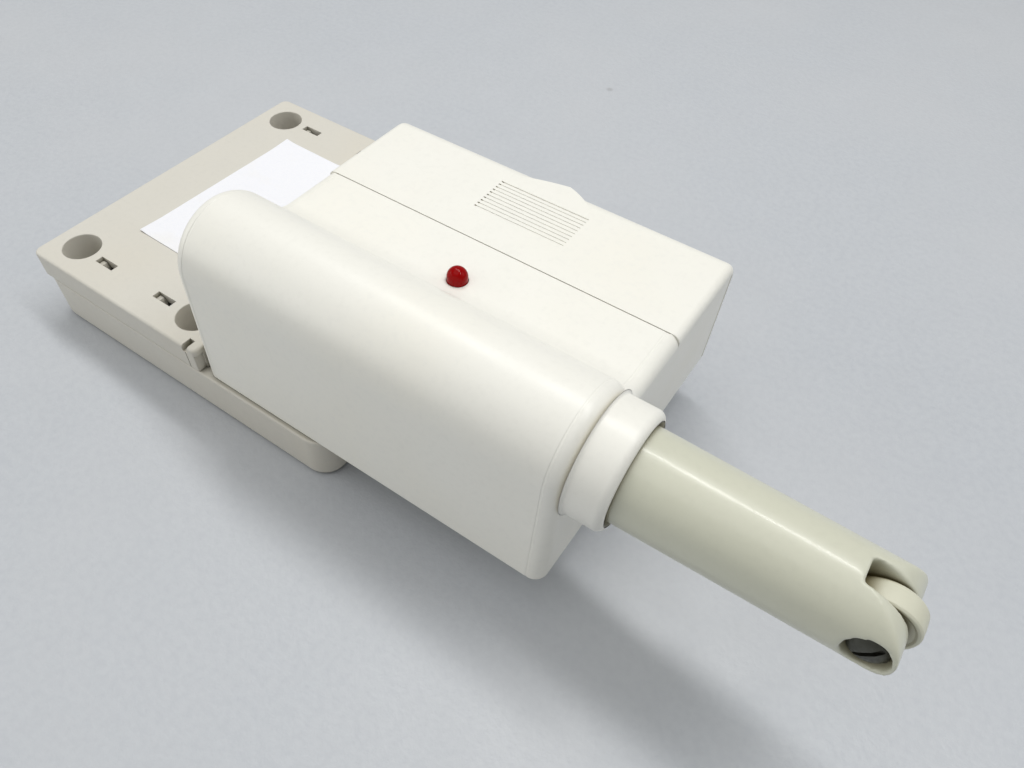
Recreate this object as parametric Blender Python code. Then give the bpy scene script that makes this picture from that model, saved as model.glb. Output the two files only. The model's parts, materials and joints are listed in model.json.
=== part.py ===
"""Door contact sensor with a sprung roller plunger, on a flat wall base.

Units are metres. The origin is the centre of the base's back face. +X runs along the
plunger towards its roller, +Y towards the battery cover, and +Z away from the surface
that the base is fastened to.
"""

import math

import bmesh
import bpy

MM = 0.001
GAP = 0.3 * MM  # between pieces that meet
FIT = 0.1 * MM  # round pieces that run or sit in each other
PAST = 1.0 * MM  # how far a cutter runs past the face that it cuts

# Wall base: a tray, and a cover over its left part.
BASE_LENGTH, BASE_WIDTH, TRAY_HEIGHT = 65.0 * MM, 60.8 * MM, 8.6 * MM
BASE_WALL, TRAY_FLOOR = 1.4 * MM, 1.6 * MM
DECK_X0, DECK_THICK = 6.4 * MM, 1.6 * MM  # the tray's right part is roofed over
BASE_X0, BASE_X1 = -BASE_LENGTH / 2, BASE_LENGTH / 2
BASE_Y1 = BASE_WIDTH / 2
COVER_CORNER_R, TRAY_CORNER_R = 1.4 * MM, 3.6 * MM
COVER_LENGTH, COVER_TOP, COVER_PLATE = 39.6 * MM, 13.5 * MM, 1.6 * MM
COVER_X1 = BASE_X0 + COVER_LENGTH
COVER_MID_X = BASE_X0 + COVER_LENGTH / 2
COVER_LOW = TRAY_HEIGHT + GAP

# Four screw recesses in the cover's corners, each with a slot over a snap hook.
RECESS_R, RECESS_EDGE, SKIRT_R, SKIRT_LOW = 3.2 * MM, 5.75 * MM, 4.0 * MM, 4.5 * MM
WALL_SCREW_R = 2.2 * MM
SLOT_LENGTH, SLOT_WIDTH, SLOT_OFFSET_X, SLOT_Y = 4.0 * MM, 1.4 * MM, 7.1 * MM, 25.0 * MM
HOOK_LENGTH, HOOK_WIDTH, HOOK_TOP = 3.2 * MM, 0.8 * MM, 9.5 * MM
NOTCH_X, NOTCH_WIDTH, NOTCH_DEPTH = 5.0 * MM, 1.1 * MM, 1.9 * MM

# Housing: one section along X, with a round bulge over the plunger.
HOUSING_X0, HOUSING_X1 = 7.8 * MM, 70.1 * MM
HOUSING_LOW, HOUSING_TOP = TRAY_HEIGHT + GAP, 28.4 * MM
FRONT_Y, REAR_Y, SEAM_Y = -29.7 * MM, 21.5 * MM, 2.5 * MM
WALL = 1.6 * MM
AXIS_Y, AXIS_Z, BULGE_R = -20.3 * MM, 28.3 * MM, 8.67 * MM
FILLET_R = 6.0 * MM
FILLET_Z = HOUSING_TOP + FILLET_R
FILLET_ANGLE = math.asin((FILLET_Z - AXIS_Z) / (BULGE_R + FILLET_R))
FILLET_Y = AXIS_Y + (BULGE_R + FILLET_R) * math.cos(FILLET_ANGLE)
BULKHEAD = 1.35 * MM
INSIDE_X0, INSIDE_X1 = HOUSING_X0 + WALL, HOUSING_X1 - WALL
FLOOR_THICK = 1.5 * MM
FLOOR_TOP = HOUSING_LOW + FLOOR_THICK
BOSS_R, BOSS_TOP = 2.6 * MM, 20.0 * MM
BOSS_X, BOSS_Y = (12.2 * MM, 65.4 * MM), (-26.4 * MM, -1.3 * MM)

# Battery cover: top panel and rear wall in one, with a ribbed thumb grip.
PANEL_THICK, GUIDE_THICK = 1.6 * MM, 1.0 * MM
GRIP_X0, GRIP_X1, GRIP_Y0, GRIP_Y1, GRIP_RIBS = 31.8 * MM, 47.6 * MM, 8.3 * MM, 16.6 * MM, 10
GRIP_DEPTH = 0.35 * MM
LEDGE_Y0, LEDGE_Y1 = 17.2 * MM, 22.0 * MM  # thumb ledge behind the grip

# Plunger arm: hollow tube that slides in a collar, with a forked end and a roller.
COLLAR_R, COLLAR_X1, MOUTH_R, MOUTH_X = 8.0 * MM, 75.3 * MM, 7.0 * MM, 71.6 * MM
SLEEVE_R, SLEEVE_BORE, SLEEVE_X0 = 6.95 * MM, 6.4 * MM, 62.0 * MM
TUBE_R, TUBE_BORE, TUBE_X0, BORE_X1 = 6.3 * MM, 4.7 * MM, 58.0 * MM, 97.0 * MM
TAPER_X0, TIP_R = 75.0 * MM, 5.85 * MM  # the tube thins from the collar to its tip
NOSE_X0, NOSE_LENGTH, NOSE_R = 98.4 * MM, 8.6 * MM, 6.0 * MM
NOSE_X1 = NOSE_X0 + NOSE_LENGTH
FORK_ROOT_X, PIN_X = 100.4 * MM, 104.1 * MM
FORK_SLOT, ROLLER_WIDTH, ROLLER_R = 3.4 * MM, 3.0 * MM, 4.2 * MM
PIN_R, HEAD_R, HEAD_DEEP, HEAD_THICK = 1.0 * MM, 2.1 * MM, 1.6 * MM, 1.0 * MM
RING_X, RING_WIDTH, RING_R, RING_BORE = 59.7 * MM, 2.0 * MM, 6.75 * MM, 5.5 * MM
ROD_R, ROD_X1, SOCKET_R, SOCKET_X1 = 2.4 * MM, 70.0 * MM, 3.8 * MM, 12.4 * MM
SPRING_R, SPRING_WIRE, SPRING_TURNS = 5.0 * MM, 0.4 * MM, 12
MAGNET_X, MAGNET_LENGTH, MAGNET_R, MAGNET_BORE = 58.6 * MM, 8.0 * MM, 4.6 * MM, 2.9 * MM

# Lamp, boards and cell.
LED_X, LED_Y, LED_R, LED_FLANGE_R = 39.5 * MM, -6.1 * MM, 1.55 * MM, 2.0 * MM
LED_TOP, LED_LOW = 30.9 * MM, 25.4 * MM
BOARD_THICK = 1.6 * MM
SENSOR_BOARD_LOW, RADIO_BOARD_LOW = 12.6 * MM, 7.2 * MM
SENSOR_BOARD_TOP = SENSOR_BOARD_LOW + BOARD_THICK
RADIO_BOARD_TOP = RADIO_BOARD_LOW + BOARD_THICK
CELL_R, CELL_Y, CELL_Z, CELL_X0, CELL_X1 = 7.1 * MM, 11.2 * MM, 18.5 * MM, 16.9 * MM, 65.6 * MM
WIRE_X, WIRE_Z, WIRE_NOTCH, WIRE_R = (12.2 * MM, 65.4 * MM), 22.0 * MM, 2.0 * MM, 0.45 * MM
TAMPER_X, TAMPER_Y = -13.0 * MM, 0.0

WHOLE, SMALL, TINY = 64, 24, 12  # sides of large, small and very small round pieces


def clear_scene():
    for obj in list(bpy.data.objects):
        bpy.data.objects.remove(obj)


def material(name, colour, roughness, metallic=0.0):
    made = bpy.data.materials.new(name)
    made.use_nodes = True
    shader = made.node_tree.nodes["Principled BSDF"]
    shader.inputs["Base Color"].default_value = (*colour, 1.0)
    shader.inputs["Roughness"].default_value = roughness
    shader.inputs["Metallic"].default_value = metallic
    return made


def make_object(name, bm, look=None, origin=(0.0, 0.0, 0.0), smooth=False):
    """An object of this mesh, whose points are in world space, with its origin at that place."""
    bmesh.ops.recalc_face_normals(bm, faces=bm.faces)
    bmesh.ops.translate(bm, verts=bm.verts, vec=[-v for v in origin])
    mesh = bpy.data.meshes.new(name)
    bm.to_mesh(mesh)
    bm.free()
    if smooth:
        mesh.shade_smooth()
        mesh.set_sharp_from_angle(angle=math.radians(35))
    obj = bpy.data.objects.new(name, mesh)
    obj.location = origin
    bpy.context.scene.collection.objects.link(obj)
    if look:
        mesh.materials.append(look)
    else:
        obj.hide_render = True
        obj.display_type = "WIRE"
    return obj


def placed(axis, u, v, along):
    """World point for (u, v) across an axis and a place along it. Across Y, for one, u is X and v is Z."""
    return {"X": (along, u, v), "Y": (u, along, v), "Z": (u, v, along)}[axis]


def prism_mesh(outline, low, high, axis):
    """Closed prism on an outline of (u, v) points."""
    bm = bmesh.new()
    rings = [[bm.verts.new(placed(axis, u, v, end)) for u, v in outline] for end in (low, high)]
    for ring in rings:
        bm.faces.new(ring)
    for i in range(len(outline)):
        j = (i + 1) % len(outline)
        bm.faces.new((rings[0][i], rings[0][j], rings[1][j], rings[1][i]))
    return bm


def turned_mesh(profile, axis, centre, sides):
    """Body of revolution: a closed profile of (radius, along) points, where radius 0 is on the axis."""
    bm = bmesh.new()
    rings = []
    for radius, along in profile:
        if radius == 0:
            rings.append([bm.verts.new(placed(axis, *centre, along))])
            continue
        around = arc(*centre, radius, 0, math.tau * (1 - 1 / sides), sides - 1)
        rings.append([bm.verts.new(placed(axis, u, v, along)) for u, v in around])
    for first, second in zip(rings, rings[1:] + rings[:1]):
        if len(first) == len(second) == 1:
            continue
        for i in range(sides):
            j = (i + 1) % sides
            corners = [first[i % len(first)], first[j % len(first)]]
            corners += [second[j % len(second)], second[i % len(second)]]
            bm.faces.new(list(dict.fromkeys(corners)))
    return bm


def prism(name, outline, low, high, axis, look=None, origin=(0.0, 0.0, 0.0)):
    return make_object(name, prism_mesh(outline, low, high, axis), look, origin)


def turned(name, profile, axis, centre, look=None, sides=SMALL, origin=(0.0, 0.0, 0.0)):
    return make_object(name, turned_mesh(profile, axis, centre, sides), look, origin, smooth=True)


def box(name, x, y, z, look=None, origin=(0.0, 0.0, 0.0)):
    return prism(name, [(x[0], y[0]), (x[1], y[0]), (x[1], y[1]), (x[0], y[1])], *z, "Z", look, origin)


def cylinder(name, radius, low, high, axis, centre, look=None, sides=SMALL):
    return turned(name, [(0, low), (radius, low), (radius, high), (0, high)], axis, centre, look, sides)


def ring(name, radius, bore, low, high, axis, centre, look=None, sides=WHOLE, origin=(0.0, 0.0, 0.0)):
    profile = [(bore, low), (radius, low), (radius, high), (bore, high)]
    return turned(name, profile, axis, centre, look, sides, origin)


def arc(u, v, radius, start, end, steps):
    """Points along an arc about (u, v), both ends included."""
    angles = [start + (end - start) * i / steps for i in range(steps + 1)]
    return [(u + radius * math.cos(a), v + radius * math.sin(a)) for a in angles]


def rounded_rectangle(x0, x1, y0, y1, left_r, right_r):
    turn = math.pi / 2
    return (
        arc(x1 - right_r, y0 + right_r, right_r, -turn, 0, 6)
        + arc(x1 - right_r, y1 - right_r, right_r, 0, turn, 6)
        + arc(x0 + left_r, y1 - left_r, left_r, turn, 2 * turn, 4)
        + arc(x0 + left_r, y0 + left_r, left_r, 2 * turn, 3 * turn, 4)
    )


def combine(obj, operation, others):
    """Joins helpers to obj or cuts them from it. They don't touch each other, and become one helper."""
    bm = bmesh.new()
    for other in others:
        bm.from_mesh(other.data)
        bpy.data.objects.remove(other)
    step = obj.modifiers.new(operation.lower(), "BOOLEAN")
    step.operation = operation
    step.solver = "EXACT"
    step.object = make_object(f"{obj.name}_{operation.lower()}_{len(obj.modifiers)}", bm)


def wire(name, points, radius, look):
    """Round wire through points, as a curve with filled ends."""
    curve = bpy.data.curves.new(name, "CURVE")
    curve.dimensions = "3D"
    curve.bevel_depth = radius
    curve.bevel_resolution = 1
    curve.use_fill_caps = True
    spline = curve.splines.new("POLY")
    spline.points.add(len(points) - 1)
    for point, place in zip(spline.points, points):
        point.co = (*place, 1.0)
    curve.materials.append(look)
    obj = bpy.data.objects.new(name, curve)
    bpy.context.scene.collection.objects.link(obj)
    return obj


def helix(centre, radius, start, end, turns, steps, axis="X"):
    count = turns * steps
    around = arc(*centre, radius, 0, math.tau * turns, count)
    return [placed(axis, u, v, start + (end - start) * i / count) for i, (u, v) in enumerate(around)]


def screw(name, x, y, head_z, tip_z, shank_r, head_r, head_thick, look):
    """Pan-head screw along Z with a cross recess. The head lies on the side away from the tip."""
    away = 1 if head_z > tip_z else -1
    top = head_z + away * head_thick
    profile = [(0, tip_z), (shank_r * 0.4, tip_z), (shank_r, tip_z + away * shank_r)]
    profile += [(shank_r, head_z), (head_r, head_z), (head_r, head_z + away * head_thick * 0.5)]
    profile += [(head_r * 0.8, top), (0, top)]
    made = turned(name, profile, "Z", (x, y), look, 16)
    half, arm, deep = head_r * 0.14, head_r * 0.62, head_thick * 0.5
    cross = [(arm, -half), (arm, half), (half, half), (half, arm), (-half, arm), (-half, half)]
    cross += [(-u, -v) for u, v in cross]
    outline = [(x + u, y + v) for u, v in cross]
    cutter = prism(name + "_recess", outline, top - away * deep, top + away * PAST, "Z")
    combine(made, "DIFFERENCE", [cutter])
    return made


def corner_places():
    """Centres of the four screw recesses."""
    xs = (BASE_X0 + RECESS_EDGE, COVER_X1 - RECESS_EDGE)
    ys = (-BASE_Y1 + RECESS_EDGE, BASE_Y1 - RECESS_EDGE)
    return [(x, y) for y in ys for x in xs]


def slot_places():
    xs = (COVER_MID_X - SLOT_OFFSET_X, COVER_MID_X + SLOT_OFFSET_X)
    return [(x, y) for y in (-SLOT_Y, SLOT_Y) for x in xs]


def centred_box(name, x, y, length, width, z, look=None):
    return box(name, (x - length / 2, x + length / 2), (y - width / 2, y + width / 2), z, look)


BASE_SCREWS = [(22.0 * MM, -22.0 * MM), (22.0 * MM, -4.0 * MM)]
SENSOR_SCREWS = [(50.0 * MM, -23.0 * MM), (50.0 * MM, -3.5 * MM)]
RADIO_SCREWS = [(-25.0 * MM, 13.0 * MM), (-1.0 * MM, -13.0 * MM)]
FLOOR_SCREWS = [(x, y) for y in BOSS_Y for x in BOSS_X]
POST_R, PILOT_R = 2.4 * MM, 1.1 * MM
BASE_HEAD_R, BASE_HEAD_Z, BASE_SHANK_R = 2.6 * MM, 2.0 * MM, 1.3 * MM
RIBBON_SLOT = ((13.4 * MM, 15.0 * MM), (-16.6 * MM, -9.4 * MM))  # X and Y, for the ribbon between the boards


def base_tray(look):
    """Open tray with bosses for the wall screws, snap hooks, board posts and posts under the housing."""
    outline = rounded_rectangle(BASE_X0, BASE_X1, -BASE_Y1, BASE_Y1, TRAY_CORNER_R, TRAY_CORNER_R)
    tray = prism("base_tray", outline, 0, TRAY_HEIGHT, "Z", look)
    inner = (BASE_X0 + BASE_WALL, BASE_X1 - BASE_WALL, -BASE_Y1 + BASE_WALL, BASE_Y1 - BASE_WALL)
    pocket_outline = rounded_rectangle(*inner, 2.2 * MM, 2.2 * MM)
    pocket = prism("tray_pocket", pocket_outline, TRAY_FLOOR, TRAY_HEIGHT + PAST, "Z")
    combine(tray, "DIFFERENCE", [pocket])
    in_floor = TRAY_FLOOR / 2
    added = [
        cylinder(f"tray_boss_{i}", SKIRT_R, in_floor, SKIRT_LOW - GAP, "Z", place)
        for i, place in enumerate(corner_places())
    ]
    added += [
        centred_box(f"tray_hook_{i}", x, y, HOOK_LENGTH, HOOK_WIDTH, (in_floor, HOOK_TOP))
        for i, (x, y) in enumerate(slot_places())
    ]
    added += [
        cylinder(f"tray_board_post_{i}", POST_R, in_floor, RADIO_BOARD_LOW - GAP, "Z", place)
        for i, place in enumerate(RADIO_SCREWS)
    ]
    added += [
        cylinder(f"tray_post_{i}", POST_R * 1.6, in_floor, TRAY_HEIGHT, "Z", place)
        for i, place in enumerate(BASE_SCREWS)
    ]
    added.append(cylinder("tamper_guide", 3.4 * MM, in_floor, 3.2 * MM, "Z", (TAMPER_X, TAMPER_Y)))
    combine(tray, "UNION", added)
    x1, y1 = BASE_X1 - BASE_WALL / 2, BASE_Y1 - BASE_WALL / 2
    deck = rounded_rectangle(DECK_X0, x1, -y1, y1, 0.2 * MM, 2.8 * MM)
    combine(tray, "UNION", [prism("tray_deck", deck, TRAY_HEIGHT - DECK_THICK, TRAY_HEIGHT, "Z")])
    cuts = [
        cylinder(f"tray_wall_hole_{i}", WALL_SCREW_R, -PAST, SKIRT_LOW, "Z", place)
        for i, place in enumerate(corner_places())
    ]
    cuts += [
        cylinder(f"tray_board_pilot_{i}", PILOT_R, 3.0 * MM, RADIO_BOARD_LOW, "Z", place, sides=TINY)
        for i, place in enumerate(RADIO_SCREWS)
    ]
    for i, place in enumerate(BASE_SCREWS):
        wide, narrow, top = BASE_HEAD_R + GAP, BASE_SHANK_R + FIT, TRAY_HEIGHT + PAST
        profile = [(0, -PAST), (wide, -PAST), (wide, BASE_HEAD_Z)]
        profile += [(narrow, BASE_HEAD_Z), (narrow, top), (0, top)]
        cuts.append(turned(f"tray_base_hole_{i}", profile, "Z", place))
    profile = [(0, -PAST), (1.9 * MM, -PAST), (1.9 * MM, 1.2 * MM), (2.7 * MM, 1.2 * MM)]
    profile += [(2.7 * MM, 4 * MM), (0, 4 * MM)]
    cuts.append(turned("tamper_hole", profile, "Z", (TAMPER_X, TAMPER_Y)))
    cuts.append(box("tray_ribbon_slot", *RIBBON_SLOT, (TRAY_HEIGHT - 2 * DECK_THICK, TRAY_HEIGHT + PAST)))
    combine(tray, "DIFFERENCE", cuts)


def base_cover(look):
    """Cover of the tray's left part, with a skirted recess over each boss and a slot over each hook."""
    outline = rounded_rectangle(BASE_X0, COVER_X1, -BASE_Y1, BASE_Y1, COVER_CORNER_R, 0.5 * MM)
    cover = prism("base_cover", outline, COVER_LOW, COVER_TOP, "Z", look)
    inner = (BASE_X0 + BASE_WALL, COVER_X1 - BASE_WALL, -BASE_Y1 + BASE_WALL, BASE_Y1 - BASE_WALL)
    pocket_outline = rounded_rectangle(*inner, 0.6 * MM, 0.3 * MM)
    pocket = prism("cover_pocket", pocket_outline, COVER_LOW - PAST, COVER_TOP - COVER_PLATE, "Z")
    combine(cover, "DIFFERENCE", [pocket])
    skirts = [
        cylinder(f"cover_skirt_{i}", SKIRT_R, SKIRT_LOW, COVER_TOP - COVER_PLATE / 2, "Z", place, sides=32)
        for i, place in enumerate(corner_places())
    ]
    combine(cover, "UNION", skirts)
    cuts = [
        cylinder(f"cover_recess_{i}", RECESS_R, SKIRT_LOW - PAST, COVER_TOP + PAST, "Z", place, sides=32)
        for i, place in enumerate(corner_places())
    ]
    cuts += [
        centred_box(f"cover_slot_{i}", x, y, SLOT_LENGTH, SLOT_WIDTH, (COVER_LOW, COVER_TOP + PAST))
        for i, (x, y) in enumerate(slot_places())
    ]
    notch_y = (-BASE_Y1 - PAST, -BASE_Y1 + NOTCH_DEPTH)
    notch_z = (COVER_TOP - 1.2 * MM, COVER_TOP + PAST)
    cuts.append(box("cover_notch", (NOTCH_X - NOTCH_WIDTH / 2, NOTCH_X + NOTCH_WIDTH / 2), notch_y, notch_z))
    combine(cover, "DIFFERENCE", cuts)


def paper_label(look):
    """Stuck-on paper label, turned a little out of square."""
    low = COVER_TOP + 0.05 * MM
    cos, sin = math.cos(math.radians(1.2)), math.sin(math.radians(1.2))
    corners = [(-7.5 * MM, -17.8 * MM), (7.5 * MM, -17.8 * MM), (7.5 * MM, 17.8 * MM), (-7.5 * MM, 17.8 * MM)]
    outline = [(-14.2 * MM + u * cos + v * sin, 1.6 * MM - u * sin + v * cos) for u, v in corners]
    prism("paper_label", outline, low, low + 0.15 * MM, "Z", look)


def section(inset, low_z, end_y):
    """Housing section in (Y, Z): foot, round bulge, fillet, flat top and rear end, drawn in by inset."""
    points = [(FRONT_Y + inset, low_z)]
    points += arc(AXIS_Y, AXIS_Z, BULGE_R - inset, math.pi, FILLET_ANGLE, 22)
    points += arc(FILLET_Y, FILLET_Z, FILLET_R + inset, math.pi + FILLET_ANGLE, 1.5 * math.pi, 7)
    return points + [(end_y, HOUSING_TOP - inset), (end_y, low_z)]


def housing(look):
    """Main shell, open below and behind the bulkhead."""
    outline = section(0, HOUSING_LOW, SEAM_Y - GAP / 2)[:-1]
    shelf = HOUSING_TOP - PANEL_THICK - GAP
    rear = REAR_Y - PANEL_THICK - GAP
    outline += [(SEAM_Y - GAP / 2, shelf), (rear, shelf), (rear, HOUSING_LOW)]
    shell = prism("housing", outline, HOUSING_X0, HOUSING_X1, "X", look)
    bulkhead_y = SEAM_Y - GAP / 2 - BULKHEAD
    front = prism("front_cavity", section(WALL, HOUSING_LOW - PAST, bulkhead_y), INSIDE_X0, INSIDE_X1, "X")
    rear_y, rear_z = (SEAM_Y - GAP / 2, REAR_Y + PAST), (HOUSING_LOW - PAST, HOUSING_TOP + PAST)
    rear_cavity = box("cell_cavity", (INSIDE_X0, INSIDE_X1), rear_y, rear_z)
    combine(shell, "DIFFERENCE", [front, rear_cavity])
    bosses = [
        cylinder(f"floor_boss_{i}", BOSS_R, HOUSING_LOW + PAST, BOSS_TOP, "Z", place)
        for i, place in enumerate(FLOOR_SCREWS)
    ]
    axis = (AXIS_Y, AXIS_Z)
    socket = cylinder("rod_socket", SOCKET_R, INSIDE_X0 - WALL / 2, SOCKET_X1, "X", axis)
    combine(shell, "UNION", [*bosses, socket])
    room_x, room_y = (INSIDE_X0 - GAP, INSIDE_X1 + GAP), (FRONT_Y + WALL - 2 * GAP, REAR_Y + PAST)
    cuts = [box("floor_room", room_x, room_y, (HOUSING_LOW - PAST, FLOOR_TOP + GAP))]
    pilots = [
        cylinder(f"floor_pilot_{i}", PILOT_R, HOUSING_LOW, BOSS_TOP - 2 * MM, "Z", place, sides=TINY)
        for i, place in enumerate(FLOOR_SCREWS)
    ]
    hole_x, hole_z = (INSIDE_X1 - PAST, HOUSING_X1 + PAST), (HOUSING_TOP - 3 * MM, HOUSING_TOP + 3 * MM)
    cuts.append(cylinder("collar_hole", SLEEVE_R + FIT, *hole_x, "X", axis, sides=WHOLE))
    cuts.append(cylinder("rod_hole", ROD_R + FIT, INSIDE_X0, SOCKET_X1 + PAST, "X", axis))
    cuts.append(cylinder("lamp_hole", LED_R + FIT, *hole_z, "Z", (LED_X, LED_Y)))
    for i, x in enumerate(WIRE_X):
        notch_x = (x - WIRE_NOTCH / 2, x + WIRE_NOTCH / 2)
        notch_z = (WIRE_Z - WIRE_NOTCH / 2, WIRE_Z + WIRE_NOTCH / 2)
        cuts.append(box(f"wire_notch_{i}", notch_x, (0.5 * MM, SEAM_Y + PAST), notch_z))
    combine(shell, "DIFFERENCE", cuts)
    combine(shell, "DIFFERENCE", pilots)


def housing_floor(look):
    """Plate that closes the housing from below, with posts for the board and for the base screws."""
    plate_x, plate_y = (INSIDE_X0, INSIDE_X1), (FRONT_Y + WALL, REAR_Y - PANEL_THICK - 2 * GAP)
    plate = box("housing_floor", plate_x, plate_y, (HOUSING_LOW, FLOOR_TOP), look)
    post_low, post_top = HOUSING_LOW + FLOOR_THICK / 2, SENSOR_BOARD_LOW - GAP
    posts = [
        cylinder(f"floor_post_{i}", POST_R, post_low, post_top, "Z", place)
        for i, place in enumerate(BASE_SCREWS + SENSOR_SCREWS)
    ]
    combine(plate, "UNION", posts)
    cuts = []
    for i, place in enumerate(FLOOR_SCREWS):
        low, sink, top = HOUSING_LOW - PAST, HOUSING_LOW + 0.8 * MM, FLOOR_TOP + PAST
        profile = [(0, low), (2.3 * MM, low), (2.3 * MM, sink), (1.2 * MM, sink), (1.2 * MM, top), (0, top)]
        cuts.append(turned(f"floor_screw_hole_{i}", profile, "Z", place))
    cuts += [
        cylinder(f"floor_base_pilot_{i}", BASE_SHANK_R + FIT, HOUSING_LOW - PAST, post_top - MM, "Z", place)
        for i, place in enumerate(BASE_SCREWS)
    ]
    pilot_z = (HOUSING_LOW + 0.6 * MM, post_top + PAST)
    cuts += [
        cylinder(f"floor_board_pilot_{i}", PILOT_R, *pilot_z, "Z", place, sides=TINY)
        for i, place in enumerate(SENSOR_SCREWS)
    ]
    cuts.append(box("ribbon_slot", *RIBBON_SLOT, (HOUSING_LOW - PAST, FLOOR_TOP + PAST)))
    combine(plate, "DIFFERENCE", cuts)


def battery_cover(look):
    """Top panel and rear wall, which slide off towards +Y by a ribbed grip with a thumb ledge."""
    y0, inner_y, inner_z = SEAM_Y + GAP / 2, REAR_Y - PANEL_THICK, HOUSING_TOP - PANEL_THICK
    edge_r = 2.6 * MM
    outline = [(y0, inner_z), (y0, HOUSING_TOP)]
    outline += arc(REAR_Y - edge_r, HOUSING_TOP - edge_r, edge_r, math.pi / 2, 0, 6)
    outline += [(REAR_Y, HOUSING_LOW), (inner_y, HOUSING_LOW), (inner_y, inner_z)]
    cover = prism("battery_cover", outline, HOUSING_X0, HOUSING_X1, "X", look)
    pitch = (GRIP_Y1 - GRIP_Y0) / GRIP_RIBS
    cuts = []
    for i in range(GRIP_RIBS):
        rear = GRIP_Y0 + (i + 1) * pitch
        tooth = [(rear - pitch * 0.8, HOUSING_TOP + GAP), (rear, HOUSING_TOP - GRIP_DEPTH)]
        cuts.append(prism(f"grip_groove_{i}", [*tooth, (rear, HOUSING_TOP + GAP)], GRIP_X0, GRIP_X1, "X"))
    guide_y, guide_z = (y0 + 2 * MM, REAR_Y - 4 * MM), (23.5 * MM, HOUSING_TOP - PANEL_THICK / 2)
    guides = [
        box(f"cover_guide_{i}", (x0, x0 + GUIDE_THICK), guide_y, guide_z)
        for i, x0 in enumerate((INSIDE_X0 + GAP, INSIDE_X1 - GAP - GUIDE_THICK))
    ]
    combine(cover, "UNION", guides)
    ledge_x1 = GRIP_X1 - 0.7 * MM
    ledge = [(GRIP_X0, LEDGE_Y0), (ledge_x1, LEDGE_Y0), (ledge_x1, 18.9 * MM)]
    ledge += [(44.5 * MM, 20.7 * MM), (41.2 * MM, LEDGE_Y1), (37.0 * MM, 21.1 * MM), (GRIP_X0, 19.2 * MM)]
    combine(cover, "UNION", [prism("thumb_ledge", ledge, HOUSING_TOP - 0.9 * MM, HOUSING_TOP, "Z")])
    combine(cover, "DIFFERENCE", cuts)


def collar(look):
    """Bush in the housing's right end: a sleeve that guides the tube, and a wider collar outside."""
    face = HOUSING_X1 + GAP
    round_r = 0.9 * MM
    profile = [(SLEEVE_BORE, SLEEVE_X0), (SLEEVE_R, SLEEVE_X0), (SLEEVE_R, face), (COLLAR_R, face)]
    profile += [(r, x) for x, r in arc(COLLAR_X1 - round_r, COLLAR_R - round_r, round_r, math.pi / 2, 0, 4)]
    profile += [(MOUTH_R, COLLAR_X1), (MOUTH_R, MOUTH_X), (SLEEVE_BORE, MOUTH_X)]
    turned("collar_bush", profile, "X", (AXIS_Y, AXIS_Z), look, WHOLE)


def plunger_tube(look):
    """Hollow tube with a closed, rounded outer end, forked for the roller, which sits in a round pocket."""
    axis = (AXIS_Y, AXIS_Z)
    groove = (RING_X - FIT, RING_X + RING_WIDTH + FIT)
    profile = [(TUBE_BORE, TUBE_X0), (TUBE_R, TUBE_X0), (TUBE_R, groove[0]), (RING_BORE, groove[0])]
    profile += [(RING_BORE, groove[1]), (TUBE_R, groove[1]), (TUBE_R, TAPER_X0)]
    profile += [(TIP_R, NOSE_X1), (0, NOSE_X1), (0, BORE_X1), (TUBE_BORE, BORE_X1)]
    tube = turned("plunger_tube", profile, "X", axis, look, WHOLE, origin=(TUBE_X0, AXIS_Y, AXIS_Z))
    far = NOSE_X1 + PAST
    under, over = AXIS_Z - 2 * TUBE_R, AXIS_Z + 2 * TUBE_R
    nose = [(NOSE_X0, over), (far, over), (far, under), (NOSE_X0, under)]
    nose += [
        (NOSE_X0 + NOSE_LENGTH * u, AXIS_Z + NOSE_R * v)
        for u, v in arc(0, 0, 1, -math.pi / 2, math.pi / 2, 20)
    ]
    pocket_r = ROLLER_R + GAP
    reach = math.acos((PIN_X - FORK_ROOT_X) / pocket_r)
    slot = [(FORK_ROOT_X, under), (far, under), (far, over), (FORK_ROOT_X, over)]
    slot += arc(PIN_X, AXIS_Z, pocket_r, math.pi - reach, math.pi + reach, 8)
    near_y = AXIS_Y - TIP_R
    pin_axis = (PIN_X, AXIS_Z)
    cuts = [
        prism("fork_nose", nose, near_y - PAST, AXIS_Y + TUBE_R + PAST, "Y"),
        prism("fork_slot", slot, AXIS_Y - FORK_SLOT / 2, AXIS_Y + FORK_SLOT / 2, "Y"),
        cylinder("pin_hole", PIN_R + FIT, near_y, AXIS_Y + TIP_R - 0.9 * MM, "Y", pin_axis),
        cylinder("head_recess", HEAD_R + GAP, near_y - PAST, near_y + HEAD_DEEP, "Y", pin_axis),
    ]
    for cut in cuts:
        combine(tube, "DIFFERENCE", [cut])


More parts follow.
